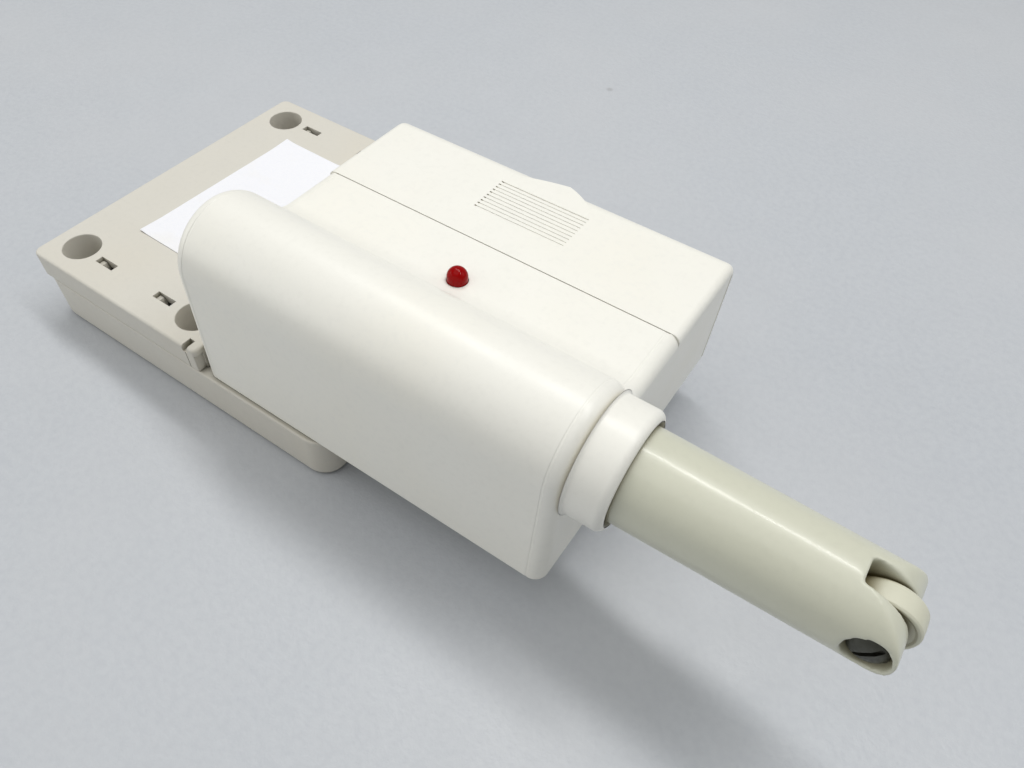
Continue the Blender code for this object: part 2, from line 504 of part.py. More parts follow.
def roller_and_pin(roller_look, pin_look):
    """Roller between the fork's ears, and the headed pin that it turns on."""
    origin = (PIN_X, AXIS_Y, AXIS_Z)
    edge = 0.4 * MM
    low, high = AXIS_Y - ROLLER_WIDTH / 2, AXIS_Y + ROLLER_WIDTH / 2
    profile = [(PIN_R + FIT, low), (ROLLER_R - edge, low), (ROLLER_R, low + edge)]
    profile += [(ROLLER_R, high - edge), (ROLLER_R - edge, high), (PIN_R + FIT, high)]
    turned("tip_roller", profile, "Y", (PIN_X, AXIS_Z), roller_look, 48, origin)
    seat = AXIS_Y - TIP_R + HEAD_DEEP - FIT
    face, far = seat - HEAD_THICK, AXIS_Y + TIP_R - 1.1 * MM
    profile = [(0, face), (HEAD_R * 0.85, face), (HEAD_R, face + HEAD_THICK * 0.3), (HEAD_R, seat)]
    profile += [(PIN_R, seat), (PIN_R, far), (0, far)]
    pin = turned("roller_pin", profile, "Y", (PIN_X, AXIS_Z), pin_look, SMALL, origin)
    socket = arc(PIN_X, AXIS_Z, 0.9 * MM, 0, math.tau * 5 / 6, 5)
    cutter = prism("pin_socket", socket, face - PAST, face + 0.6 * MM, "Y")
    combine(pin, "DIFFERENCE", [cutter])


def plunger_inside(ring_look, magnet_look, rod_look, spring_look):
    """Stop ring and magnet on the tube, and the rod and the spring behind it."""
    axis = (AXIS_Y, AXIS_Z)
    for name, radius, bore, x, length, look in (
        ("stop_ring", RING_R, RING_BORE + FIT, RING_X, RING_WIDTH, ring_look),
        ("ring_magnet", MAGNET_R, MAGNET_BORE, MAGNET_X, MAGNET_LENGTH, magnet_look),
    ):
        ring(name, radius, bore, x, x + length, "X", axis, look, 48, (x, *axis))
    cylinder("spring_rod", ROD_R, INSIDE_X0 + GAP, ROD_X1, "X", axis, rod_look)
    start, end = INSIDE_X0 + GAP + SPRING_WIRE, TUBE_X0 - GAP - SPRING_WIRE
    coil = helix(axis, SPRING_R, start, end, SPRING_TURNS, 14)
    wire("return_spring", coil, SPRING_WIRE, spring_look)


def lamp(lens_look, lead_look):
    """Red lamp with a domed lens and flange, and its two leads down to the board."""
    flange_top = HOUSING_TOP - WALL - GAP
    profile = [(0, LED_LOW), (LED_FLANGE_R, LED_LOW), (LED_FLANGE_R, flange_top), (LED_R, flange_top)]
    dome_z = LED_TOP - LED_R
    profile += [(r, z) for r, z in arc(0, dome_z, LED_R, 0, math.pi / 2, 6)[:-1]] + [(0, LED_TOP)]
    turned("led_lamp", profile, "Z", (LED_X, LED_Y), lens_look, SMALL)
    for name, side in (("led_lead_anode", -1), ("led_lead_cathode", 1)):
        x = LED_X + side * 1.27 * MM
        centred_box(name, x, LED_Y, 0.5 * MM, 0.5 * MM, (SENSOR_BOARD_TOP + GAP, LED_LOW - GAP), lead_look)


def sensor_board(board_look, chip_look, glass_look, lead_look, can_look, screw_look):
    """Board under the plunger with the reed switch, a controller and a capacitor."""
    low, high = SENSOR_BOARD_LOW, SENSOR_BOARD_TOP
    board = box("sensor_board", (15.6 * MM, 62.0 * MM), (-27.2 * MM, 0.3 * MM), (low, high), board_look)
    holes = [
        cylinder(f"board_hole_{i}", 1.2 * MM, low - PAST, high + PAST, "Z", place, sides=TINY)
        for i, place in enumerate(SENSOR_SCREWS)
    ]
    combine(board, "DIFFERENCE", holes)
    top = SENSOR_BOARD_TOP + GAP
    for i, (x, y) in enumerate(SENSOR_SCREWS):
        screw(f"sensor_board_screw_{i + 1}", x, y, top, FLOOR_TOP, 0.95 * MM, 2.0 * MM, 1.2 * MM, screw_look)
    centred_box("sensor_chip", 30.0 * MM, -9.0 * MM, 7.0 * MM, 6.0 * MM, (top, top + 1.4 * MM), chip_look)
    centre = (56.5 * MM, -12.0 * MM)
    high = top + 6 * MM
    profile = [(0, top), (2.5 * MM, top), (2.5 * MM, high - 0.4 * MM), (2.1 * MM, high), (0, high)]
    turned("capacitor", profile, "Z", centre, can_look)
    reed_z, x0, x1 = 17.2 * MM, 20.0 * MM, 34.0 * MM
    r, tip = 1.1 * MM, 0.5 * MM
    profile = [(0, x0), (tip, x0), (r, x0 + MM), (r, x1 - MM), (tip, x1), (0, x1)]
    turned("reed_capsule", profile, "X", (AXIS_Y, reed_z), glass_look)
    for name, end, out in (("reed_lead_left", x0 - GAP, -1), ("reed_lead_right", x1 + GAP, 1)):
        bend = [(0.0, 0.0), (1.6 * MM, 0.0), (2.2 * MM, -0.3 * MM), (2.4 * MM, -0.9 * MM)]
        path = [(end + out * u, AXIS_Y, reed_z + v) for u, v in bend]
        wire(name, path + [(end + out * 2.4 * MM, AXIS_Y, top)], 0.25 * MM, lead_look)


def radio_board(board_look, can_look, wire_look, screw_look):
    """Board in the wall base with the radio and its coil antenna."""
    low, high = RADIO_BOARD_LOW, RADIO_BOARD_TOP
    board = box("radio_board", (-29.0 * MM, 4.4 * MM), (-19.0 * MM, 19.0 * MM), (low, high), board_look)
    holes = [
        cylinder(f"radio_hole_{i}", 1.2 * MM, low - PAST, high + PAST, "Z", place, sides=TINY)
        for i, place in enumerate(RADIO_SCREWS)
    ]
    combine(board, "DIFFERENCE", holes)
    top = RADIO_BOARD_TOP + GAP
    for i, (x, y) in enumerate(RADIO_SCREWS):
        screw(f"radio_board_screw_{i + 1}", x, y, top, 3.4 * MM, 0.95 * MM, 2.0 * MM, 1.2 * MM, screw_look)
    centred_box("radio_can", -8.0 * MM, 7.0 * MM, 14.0 * MM, 11.0 * MM, (top, top + 2.3 * MM), can_look)
    coil = helix((-12.0 * MM, 10.4 * MM), 0.9 * MM, -27.0 * MM, -11.0 * MM, 8, 10)
    wire("antenna_coil", coil, 0.25 * MM, wire_look)
    outline = [(3.4 * MM, 6.9 * MM), (3.4 * MM, 4.6 * MM), (14.0 * MM, 4.6 * MM), (14.0 * MM, 12.3 * MM)]
    outline += [(14.4 * MM, 12.3 * MM), (14.4 * MM, 4.2 * MM), (3.0 * MM, 4.2 * MM), (3.0 * MM, 6.9 * MM)]
    prism("link_ribbon", outline, -16.0 * MM, -10.0 * MM, "Y", wire_look)


def tamper(plunger_look, switch_look, spring_look):
    """Button in the base's back face, which the wall holds in, under a switch on the radio board."""
    centre = (TAMPER_X, TAMPER_Y)
    low = 0.1 * MM
    profile = [(0, low), (1.5 * MM, low), (1.5 * MM, 1.5 * MM), (2.4 * MM, 1.5 * MM), (2.4 * MM, 2.3 * MM)]
    profile += [(1.1 * MM, 2.3 * MM), (1.1 * MM, 3.5 * MM), (0, 3.5 * MM)]
    turned("tamper_button", profile, "Z", centre, plunger_look, SMALL, (*centre, low))
    switch_low, switch_high = 4.6 * MM, RADIO_BOARD_LOW - GAP
    centred_box("tamper_switch", *centre, 6.0 * MM, 6.0 * MM, (switch_low, switch_high), switch_look)
    coil = helix(centre, 1.8 * MM, 2.8 * MM, switch_low - 0.5 * MM, 2, 14, "Z")
    wire("tamper_spring", coil, 0.2 * MM, spring_look)


def cell_and_contacts(cell_look, plate_look, wire_look_a, wire_look_b):
    """Cylindrical cell behind the bulkhead, its sprung contacts and the two wires to the board."""
    axis = (CELL_Y, CELL_Z)
    nub = CELL_X1 + 1.5 * MM
    rim_r, edge = CELL_R - 0.5 * MM, 0.5 * MM
    profile = [(0, CELL_X0), (rim_r, CELL_X0), (CELL_R, CELL_X0 + edge), (CELL_R, CELL_X1 - edge)]
    profile += [(rim_r, CELL_X1), (2.7 * MM, CELL_X1), (2.7 * MM, nub), (0, nub)]
    turned("battery_cell", profile, "X", axis, cell_look, 40)
    y, z = (CELL_Y - 5 * MM, CELL_Y + 5 * MM), (13.0 * MM, 23.2 * MM)
    left = INSIDE_X0 + 5 * GAP
    box("negative_contact", (left, left + 0.4 * MM), y, z, plate_look)
    coil = helix(axis, 2.8 * MM, left + 0.4 * MM + GAP + 0.3 * MM, CELL_X0 - GAP - 0.3 * MM, 3, 14)
    wire("negative_spring", coil, 0.3 * MM, plate_look)
    box("positive_contact", (nub + GAP, nub + GAP + 0.4 * MM), y, z, plate_look)
    for name, x, out, look in (
        ("battery_wire_negative", WIRE_X[0], 1, wire_look_a),
        ("battery_wire_positive", WIRE_X[1], -1, wire_look_b),
    ):
        path = [(x, 4.6 * MM, WIRE_Z), (x, -0.4 * MM, WIRE_Z), (x + out * 0.8 * MM, -1.6 * MM, 21.8 * MM)]
        path += [(x + out * 3.6 * MM, -3.4 * MM, 20.6 * MM), (x + out * 5 * MM, -4 * MM, 18 * MM)]
        path += [(x + out * 5 * MM, -4 * MM, SENSOR_BOARD_TOP + GAP)]
        wire(name, path, WIRE_R, look)


def fasteners(look):
    """Screws from below: four into the housing's bosses, and two that hold the housing on the base."""
    for i, (x, y) in enumerate(FLOOR_SCREWS):
        sink = HOUSING_LOW + 0.8 * MM - FIT
        screw(f"floor_screw_{i + 1}", x, y, sink, BOSS_TOP - 4 * MM, 0.95 * MM, 2.0 * MM, 0.7 * MM, look)
    for i, (x, y) in enumerate(BASE_SCREWS):
        seat = BASE_HEAD_Z - FIT
        screw(f"base_screw_{i + 1}", x, y, seat, 11.0 * MM, BASE_SHANK_R, BASE_HEAD_R, 1.4 * MM, look)


def build():
    clear_scene()
    grey_cream = material("base_plastic", (0.66, 0.62, 0.54), 0.55)
    cream = material("housing_plastic", (0.80, 0.78, 0.71), 0.42)
    tube_plastic = material("tube_plastic", (0.62, 0.61, 0.49), 0.28)
    roller_plastic = material("roller_plastic", (0.66, 0.64, 0.52), 0.4)
    paper = material("paper", (0.86, 0.86, 0.88), 0.8)
    red_lens = material("lamp_lens", (0.45, 0.004, 0.006), 0.15)
    steel = material("steel", (0.56, 0.57, 0.58), 0.35, 1.0)
    dark_steel = material("dark_steel", (0.07, 0.07, 0.06), 0.45, 1.0)
    zinc = material("screw_zinc", (0.62, 0.62, 0.60), 0.35, 1.0)
    board = material("circuit_board", (0.02, 0.16, 0.06), 0.45)
    chip = material("black_plastic", (0.02, 0.02, 0.02), 0.5)
    tin = material("tinned_metal", (0.70, 0.69, 0.66), 0.3, 1.0)
    copper = material("copper_wire", (0.72, 0.36, 0.16), 0.35, 1.0)
    glass = material("reed_glass", (0.30, 0.42, 0.32), 0.1)
    ferrite = material("magnet", (0.10, 0.10, 0.11), 0.6)
    wrap = material("cell_wrap", (0.05, 0.14, 0.32), 0.35)
    red_wire = material("red_insulation", (0.5, 0.02, 0.02), 0.5)
    black_wire = material("black_insulation", (0.02, 0.02, 0.02), 0.5)

    base_tray(grey_cream)
    base_cover(grey_cream)
    paper_label(paper)
    radio_board(board, tin, copper, zinc)
    tamper(chip, chip, steel)
    housing(cream)
    housing_floor(cream)
    battery_cover(cream)
    collar(cream)
    sensor_board(board, chip, glass, tin, tin, zinc)
    lamp(red_lens, tin)
    cell_and_contacts(wrap, steel, black_wire, red_wire)
    fasteners(zinc)
    plunger_inside(steel, ferrite, steel, steel)
    plunger_tube(tube_plastic)
    roller_and_pin(roller_plastic, dark_steel)


build()
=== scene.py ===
"""Looks of the door contact sensor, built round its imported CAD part.

Lengths are in metres, in the part's own frame: +X along the plunger towards its roller, +Y towards
the battery cover, +Z away from the base's back face.
"""

import json
import math

import bmesh
import bpy
from mathutils import Matrix, Vector


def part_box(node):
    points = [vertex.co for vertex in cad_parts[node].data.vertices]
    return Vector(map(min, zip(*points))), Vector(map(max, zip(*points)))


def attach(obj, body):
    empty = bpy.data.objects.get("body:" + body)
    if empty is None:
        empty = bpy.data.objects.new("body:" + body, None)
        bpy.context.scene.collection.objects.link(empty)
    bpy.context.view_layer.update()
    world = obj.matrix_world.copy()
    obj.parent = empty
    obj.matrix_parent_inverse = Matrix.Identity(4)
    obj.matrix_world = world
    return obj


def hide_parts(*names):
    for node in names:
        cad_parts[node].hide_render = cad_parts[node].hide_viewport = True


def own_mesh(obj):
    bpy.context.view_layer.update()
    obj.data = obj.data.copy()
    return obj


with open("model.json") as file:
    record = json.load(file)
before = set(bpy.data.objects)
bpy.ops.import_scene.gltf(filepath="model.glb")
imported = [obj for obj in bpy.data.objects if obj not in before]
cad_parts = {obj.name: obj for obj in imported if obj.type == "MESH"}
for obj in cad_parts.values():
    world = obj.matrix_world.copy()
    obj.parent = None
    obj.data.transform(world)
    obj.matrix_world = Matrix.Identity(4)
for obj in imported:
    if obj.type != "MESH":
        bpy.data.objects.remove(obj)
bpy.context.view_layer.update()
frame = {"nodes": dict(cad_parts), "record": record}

MM = 0.001
TURN = math.tau
QUARTER = math.pi / 2
PAST = 1.0 * MM  # how far a cutter runs past the face that it cuts


def span(node):
    """Lowest and highest corner of a CAD node, as two Vectors."""
    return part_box(node)


# Places that the CAD part gives.
TRAY, COVER, HOUSING, DOOR = span("base_tray"), span("base_cover"), span("housing"), span("battery_cover")
COLLAR, TUBE, WHEEL, PIN = span("collar_bush"), span("plunger_tube"), span("tip_roller"), span("roller_pin")
LAMP, LABEL = span("led_lamp"), span("paper_label")
CELL, SPRING = span("battery_cell"), span("return_spring")
AXIS_Y, AXIS_Z = (TUBE[0].y + TUBE[1].y) / 2, (TUBE[0].z + TUBE[1].z) / 2
HOUSING_TOP, SEAM_Y = DOOR[1].z, 2.5 * MM
REAR_Y, DOOR_LOW = DOOR[1].y, DOOR[0].z

# Base.
TRAY_TOP, TRAY_FLOOR, BASE_WALL = 8.6 * MM, 1.6 * MM, 1.4 * MM
COVER_PLATE, COVER_GAP = 1.6 * MM, 0.2 * MM
TRAY_CORNER_R, TRAY_LOW_EDGE, TRAY_TOP_EDGE = 3.6 * MM, 1.1 * MM, 0.35 * MM
BOSS_Z, POST_R, POST_TOP, PILOT_R = (0.8 * MM, 4.2 * MM), 2.4 * MM, 6.9 * MM, 1.1 * MM
RECESS_R, RECESS_EDGE, SKIRT_R, SKIRT_LOW = 3.2 * MM, 5.75 * MM, 4.0 * MM, 4.5 * MM
WALL_SCREW_R = 2.2 * MM
SLOT_LENGTH, SLOT_WIDTH, SLOT_OFFSET_X, SLOT_Y = 4.0 * MM, 1.4 * MM, 7.1 * MM, 25.0 * MM
COVER_MID_X = (COVER[0].x + COVER[1].x) / 2
NOTCH_X, NOTCH_WIDTH, NOTCH_DEPTH = 4.95 * MM, 1.1 * MM, 1.9 * MM
DECK_X0, DECK_THICK = 6.4 * MM, 1.6 * MM

# Housing section.
FRONT_Y, BULGE_R, FILLET_R = -29.7 * MM, 8.67 * MM, 6.0 * MM
FILLET_Z = HOUSING_TOP + FILLET_R
FILLET_ANGLE = math.asin((FILLET_Z - AXIS_Z) / (BULGE_R + FILLET_R))
FILLET_Y = AXIS_Y + (BULGE_R + FILLET_R) * math.cos(FILLET_ANGLE)
HOUSING_LOW = HOUSING[0].z
WALL, SEAM, BULKHEAD = 1.6 * MM, 0.025 * MM, 1.35 * MM
END_R, CREASE, CREASE_DEEP = 2.0 * MM, 0.26 * MM, 0.04 * MM
DOOR_PLATE, DOOR_EDGE_R, DOOR_END_R = 1.6 * MM, 2.6 * MM, 1.3 * MM
BOSS_R, SOCKET_R, ROD_HOLE_R, FLOOR_ROOM, BOARD_LEVEL = 2.6 * MM, 3.8 * MM, 2.5 * MM, 1.7 * MM, 20 * MM
MOULD_LINE_Z, MOULD_LINE = 14.6 * MM, (0.10 * MM, 0.9 * MM)

# Grip on the battery cover.
GRIP_X0, GRIP_X1, GRIP_Y0, GRIP_Y1, GRIP_RIBS = 31.8 * MM, 47.6 * MM, 8.3 * MM, 16.6 * MM, 10
GRIP_DEPTH, PIT = 0.09 * MM, 0.13 * MM

# Plunger.
TUBE_R, TUBE_BORE, BORE_X1 = 6.3 * MM, 4.7 * MM, 97.0 * MM
TAPER_X, TIP_R = 75.0 * MM, 5.85 * MM
NOSE_X, NOSE_LENGTH, NOSE_R = 98.4 * MM, 8.6 * MM, 6.0 * MM
FORK_ROOT_X, FORK_SLOT, PIN_X, POCKET_R = 100.4 * MM, 3.4 * MM, 104.1 * MM, 4.5 * MM
SLEEVE_R, SLEEVE_BORE, MOUTH_X = 6.95 * MM, 6.4 * MM, 71.6 * MM


# ---------------------------------------------------------------- mesh work


def arc(u, v, radius, start, end, steps):
    """Points along an arc about (u, v), both ends included."""
    angles = [start + (end - start) * i / steps for i in range(steps + 1)]
    return [(u + radius * math.cos(a), v + radius * math.sin(a)) for a in angles]


def rounded_rectangle(x0, x1, y0, y1, left_r, right_r, steps=8):
    return (
        arc(x1 - right_r, y0 + right_r, right_r, -QUARTER, 0, steps)
        + arc(x1 - right_r, y1 - right_r, right_r, 0, QUARTER, steps)
        + arc(x0 + left_r, y1 - left_r, left_r, QUARTER, 2 * QUARTER, steps)
        + arc(x0 + left_r, y0 + left_r, left_r, 2 * QUARTER, 3 * QUARTER, steps)
    )


def placed(axis, u, v, along):
    return {"X": (along, u, v), "Y": (u, along, v), "Z": (u, v, along)}[axis]


def link(name, mesh):
    obj = bpy.data.objects.new(name, mesh)
    bpy.context.scene.collection.objects.link(obj)
    return obj


def mesh_object(name, bm):
    bmesh.ops.recalc_face_normals(bm, faces=bm.faces)
    mesh = bpy.data.meshes.new(name)
    bm.to_mesh(mesh)
    bm.free()
    return link(name, mesh)


def skin(name, rings):
    """Closed body through rings of equally many points, filled at both ends."""
    bm = bmesh.new()
    verts = [[bm.verts.new(point) for point in ring] for ring in rings]
    bm.faces.new(verts[0])
    bm.faces.new(verts[-1])
    count = len(rings[0])
    for low, high in zip(verts, verts[1:]):
        for i in range(count):
            j = (i + 1) % count
            bm.faces.new((low[i], low[j], high[j], high[i]))
    return mesh_object(name, bm)


def prism(name, outline, low, high, axis="Z"):
    return skin(name, [[placed(axis, u, v, end) for u, v in outline] for end in (low, high)])


def box(name, x, y, z):
    return prism(name, [(x[0], y[0]), (x[1], y[0]), (x[1], y[1]), (x[0], y[1])], *z)


def about(middle, half):
    """Both ends of a length that reaches half to each side of its middle."""
    return middle - half, middle + half


def soft_box(name, x, y, z, r):
    """Box with all its edges rounded."""
    obj = box(name, x, y, z)
    bevel = obj.modifiers.new("edges", "BEVEL")
    bevel.width = r
    bevel.segments = 3
    return obj


def slab(name, outline, z, low_r, high_r, steps=5):
    """Plate on outline(inset), with rounded lower and upper edges."""
    levels = []
    for i in range(steps + 1):
        a = QUARTER * i / steps
        levels.append((z[0] + low_r * (1 - math.cos(a)), low_r * (1 - math.sin(a))))
    for i in range(steps + 1):
        a = QUARTER * i / steps
        levels.append((z[1] - high_r * (1 - math.sin(a)), high_r * (1 - math.cos(a))))
    return skin(name, [[(u, v, height) for u, v in outline(inset)] for height, inset in levels])


def turned(name, profile, axis, centre, sides=96):
    """Body of revolution on a closed profile of (radius, along) points; radius 0 is on the axis."""
    bm = bmesh.new()
    rings = []
    for radius, along in profile:
        if radius == 0:
            rings.append([bm.verts.new(placed(axis, *centre, along))])
            continue
        ring = []
        for i in range(sides):
            a = TURN * i / sides
            u, v = centre[0] + radius * math.cos(a), centre[1] + radius * math.sin(a)
            ring.append(bm.verts.new(placed(axis, u, v, along)))
        rings.append(ring)
    for first, second in zip(rings, rings[1:] + rings[:1]):
        if len(first) == len(second) == 1:
            continue
        for i in range(sides):
            j = (i + 1) % sides
            near, far = first[i % len(first)], first[j % len(first)]
            next_near, next_far = second[i % len(second)], second[j % len(second)]
            bm.faces.new(list(dict.fromkeys((near, far, next_far, next_near))))
    return mesh_object(name, bm)


def rod(name, r, low, high, axis, centre, sides=96):
    """Plain round bar, to be joined to a piece or cut from it."""
    return turned(name, [(0, low), (r, low), (r, high), (0, high)], axis, centre, sides)


def soft_corners(points, r, steps=4):
    """Closed profile with its corners cut to arcs of radius r, except where it touches the axis."""
    rounded = []
    for i, point in enumerate(points):
        here = Vector(point)
        before, after = Vector(points[i - 1]), Vector(points[(i + 1) % len(points)])
        a, b = (before - here).normalized(), (after - here).normalized()
        half = a.angle(b) / 2
        if point[0] == 0 or half > math.radians(82):
            rounded.append(point)
            continue
        reach = min(r / math.tan(half), (before - here).length * 0.45, (after - here).length * 0.45)
        for k in range(steps + 1):
            t = k / steps
            start, end = here + a * reach, here + b * reach
            curve = start * (1 - t) ** 2 + here * (2 * t * (1 - t)) + end * t**2
            rounded.append(tuple(curve))
    return rounded


def together(objects):
    """One helper mesh of several that don't touch."""
    bm = bmesh.new()
    for obj in objects:
        bm.from_mesh(evaluated(obj))
        bpy.data.objects.remove(obj)
    return mesh_object("helper", bm)


def evaluated(obj):
    bpy.context.view_layer.update()
    graph = bpy.context.evaluated_depsgraph_get()
    return bpy.data.meshes.new_from_object(obj.evaluated_get(graph))


def combine(obj, operation, others):
    """Joins helpers to obj or cuts them from it, and keeps the result as its mesh."""
    helper = together(others)
    step = obj.modifiers.new("step", "BOOLEAN")
    step.operation = operation
    step.solver = "EXACT"
    step.object = helper
    mesh = evaluated(obj)
    obj.modifiers.clear()
    obj.data = mesh
    bpy.data.objects.remove(helper)
    return obj


def smooth(obj, sharp=32.0):
    """Keeps the modifiers' result as the mesh, and shades it smooth up to its sharp edges."""
    obj.data = evaluated(obj)
    obj.modifiers.clear()
    obj.data.shade_smooth()
    obj.data.set_sharp_from_angle(angle=math.radians(sharp))
    weighted = obj.modifiers.new("weighted", "WEIGHTED_NORMAL")
    weighted.keep_sharp = True
    weighted.weight = 80
    return obj


def sweep(name, path, section):
    """Bar along a path, on a section of (across, up) points, held level with +Z."""
    rings = []
    for before, point, after in zip([path[0], *path], path, [*path[1:], path[-1]]):
        here = Vector(point)
        ahead = (Vector(after) - Vector(before)).normalized()
        side = ahead.cross(Vector((0, 0, 1))).normalized()
        up = side.cross(ahead)
        rings.append([here + side * u + up * v for u, v in section])
    return skin(name, rings)


def coil(name, centre, radius, start, end, turns, wire_r, axis="X", steps=28, sides=8):
    """Helical spring with closed end turns."""
    total = turns * steps
    points = []
    for i in range(total + 1):
        t = i / total
        lead = 1.0 / turns
        eased = min(max((t - lead) / (1 - 2 * lead), 0.0), 1.0)
        closed_end = wire_r * 2.1 * (min(t, lead) + max(t - 1 + lead, 0.0)) / lead
        along = start + closed_end + (end - start - 2 * wire_r * 2.1) * eased
        a = TURN * turns * t
        u, v = centre[0] + radius * math.cos(a), centre[1] + radius * math.sin(a)
        points.append(Vector(placed(axis, u, v, along)))
    rings = []
    middle = Vector(placed(axis, *centre, 0))
    line = Vector(placed(axis, 0, 0, 1))
    for point in points:
        out = point - middle
        out = (out - line * out.dot(line)).normalized()
        ring = []
        for k in range(sides):
            a = TURN * k / sides
            ring.append(point + out * wire_r * math.cos(a) + line * wire_r * math.sin(a))
        rings.append(ring)
    return smooth(skin(name, rings), 60)


# ---------------------------------------------------------------- materials


class Surface:
    """A node material that grows step by step; sizes of its patterns are in metres."""

    def __init__(self, name, colour, roughness, metallic=0.0, **sockets):
        self.material = bpy.data.materials.new(name)
        self.material.use_nodes = True
        self.nodes = self.material.node_tree.nodes
        self.links = self.material.node_tree.links
        self.shader = self.nodes["Principled BSDF"]
        self.shader.inputs["Metallic"].default_value = metallic
        self.shader.inputs["Roughness"].default_value = roughness
        for socket, value in sockets.items():
            self.shader.inputs[socket.replace("_", " ")].default_value = value
        self.place = self.nodes.new("ShaderNodeTexCoord").outputs["Object"]
        self.colour = self.mix(colour, colour, None)
        self.height = None

    def mix(self, first, second, factor):
        node = self.nodes.new("ShaderNodeMix")
        node.data_type = "RGBA"
        for socket, value in ((node.inputs[6], first), (node.inputs[7], second)):
            if isinstance(value, tuple):
                socket.default_value = (*value, 1.0)
            else:
                self.links.new(value, socket)
        if factor is None:
            node.inputs[0].default_value = 0.0
        else:
            self.links.new(factor, node.inputs[0])
        return node.outputs[2]

    def stretched(self, stretch):
        node = self.nodes.new("ShaderNodeMapping")
        node.inputs["Scale"].default_value = stretch
        self.links.new(self.place, node.inputs["Vector"])
        return node.outputs["Vector"]

    def noise(self, size, detail=3.0, stretch=None):
        node = self.nodes.new("ShaderNodeTexNoise")
        node.inputs["Scale"].default_value = 1.0 / size
        node.inputs["Detail"].default_value = detail
        self.links.new(self.stretched(stretch) if stretch else self.place, node.inputs["Vector"])
        return node.outputs["Fac"]

    def between(self, value, low, high, to_low=0.0, to_high=1.0):
        node = self.nodes.new("ShaderNodeMapRange")
        for socket, number in zip(node.inputs[1:5], (low, high, to_low, to_high)):
            socket.default_value = number
        self.links.new(value, node.inputs[0])
        return node.outputs[0]

    def tint(self, other, value, low=0.4, high=0.6, most=1.0):
        """Turns the colour towards another where value is high."""
        self.colour = self.mix(self.colour, other, self.between(value, low, high, 0.0, most))
        return self

    def painted_shade_and_dirt(self, other, reach, most):
        """Paints shade, with a little dirt, into corners and gaps: darker colour where ambient occlusion is
        high.
        """
        node = self.nodes.new("ShaderNodeAmbientOcclusion")
        node.samples = 8
        node.inputs["Distance"].default_value = reach
        self.colour = self.mix(self.colour, other, self.between(node.outputs["AO"], 0.75, 0.1, 0.0, most))
        return self

    def specks(self, other, size, share):
        """Sparse round specks of another colour."""
        node = self.nodes.new("ShaderNodeTexVoronoi")
        node.inputs["Scale"].default_value = 1.0 / size
        self.links.new(self.place, node.inputs["Vector"])
        chosen = self.between(node.outputs["Color"], share * 1.2, share * 0.8)
        near = self.between(node.outputs["Distance"], 0.12, 0.05)
        both = self.nodes.new("ShaderNodeMath")
        both.operation = "MULTIPLY"
        self.links.new(chosen, both.inputs[0])
        self.links.new(near, both.inputs[1])
        self.colour = self.mix(self.colour, other, both.outputs[0])
        return self

    def gloss(self, value, low, high, to_low, to_high):
        """Roughness that follows a pattern."""
        self.links.new(self.between(value, low, high, to_low, to_high), self.shader.inputs["Roughness"])
        return self

    def relief(self, value, depth, strength=1.0):
        """Adds bumps of that depth."""
        node = self.nodes.new("ShaderNodeBump")
        node.inputs["Distance"].default_value = depth
        node.inputs["Strength"].default_value = strength
        self.links.new(value, node.inputs["Height"])
        if self.height:
            self.links.new(self.height, node.inputs["Normal"])
        self.height = node.outputs["Normal"]
        return self

    def soft_edges(self, radius):
        """Rounds the light on sharp edges."""
        node = self.nodes.new("ShaderNodeBevel")
        node.samples = 6
        node.inputs["Radius"].default_value = radius
        self.height = node.outputs["Normal"]
        return self

    def done(self):
        self.links.new(self.colour, self.shader.inputs["Base Color"])
        if self.height:
            self.links.new(self.height, self.shader.inputs["Normal"])
        return self.material


def moulded(name, colours, roughness, grain, coat=0.0, shade=((0.36, 0.31, 0.20), 1.1 * MM, 0.62)):
    """Moulded plastic: spark-eroded grain, a slow wave from cooling, and a little ageing.

    colours are the fresh one and the aged one, grain is (size, depth), and shade is the painted shade in
    corners and gaps: its colour, how far it reaches, and how strong it gets.
    """
    colour, warm = colours
    made = Surface(name, colour, roughness, Specular_IOR_Level=0.5, Coat_Weight=coat, Coat_Roughness=0.12)
    made.soft_edges(0.12 * MM)
    made.tint(warm, made.noise(26 * MM, 2.0), 0.42, 0.68, 0.55)
    made.tint(tuple(c * 0.95 for c in colour), made.noise(0.9 * MM, 4.0), 0.5, 0.72, 0.5)
    # painted shade, with a little dirt, in corners and gaps
    made.painted_shade_and_dirt(*shade)
    made.specks((0.20, 0.16, 0.10), 7.0 * MM, 0.06)
    made.gloss(made.noise(5 * MM, 5.0), 0.35, 0.7, roughness * 0.88, roughness * 1.16)
    made.relief(made.noise(14 * MM, 1.0), 0.10 * MM, 0.35)
    made.relief(made.noise(grain[0], 3.0), grain[1], 0.5)
    return made.done()


def metal(name, colour, roughness, stretch=(1.0, 1.0, 1.0)):
    """Metal with fine tool marks and darker patches."""
    made = Surface(name, colour, roughness, 1.0)
    made.tint(tuple(c * 0.7 for c in colour), made.noise(1.5 * MM, 4.0), 0.45, 0.75, 0.6)
    made.gloss(made.noise(0.5 * MM, 4.0, stretch), 0.3, 0.7, roughness * 0.75, roughness * 1.3)
    made.relief(made.noise(0.12 * MM, 2.0, stretch), 0.01 * MM, 0.4)
    return made.done()


def paper_look():
    made = Surface("label_paper", (0.86, 0.86, 0.90), 0.82, Specular_IOR_Level=0.25)
    made.tint((0.78, 0.79, 0.86), made.noise(0.5 * MM, 5.0, (1.0, 3.0, 1.0)), 0.45, 0.75, 0.5)
    made.tint((0.80, 0.76, 0.66), made.noise(9 * MM, 3.0), 0.55, 0.8, 0.35)
    made.relief(made.noise(0.12 * MM, 5.0, (1.0, 2.5, 1.0)), 0.02 * MM, 0.6)
    return made.done()


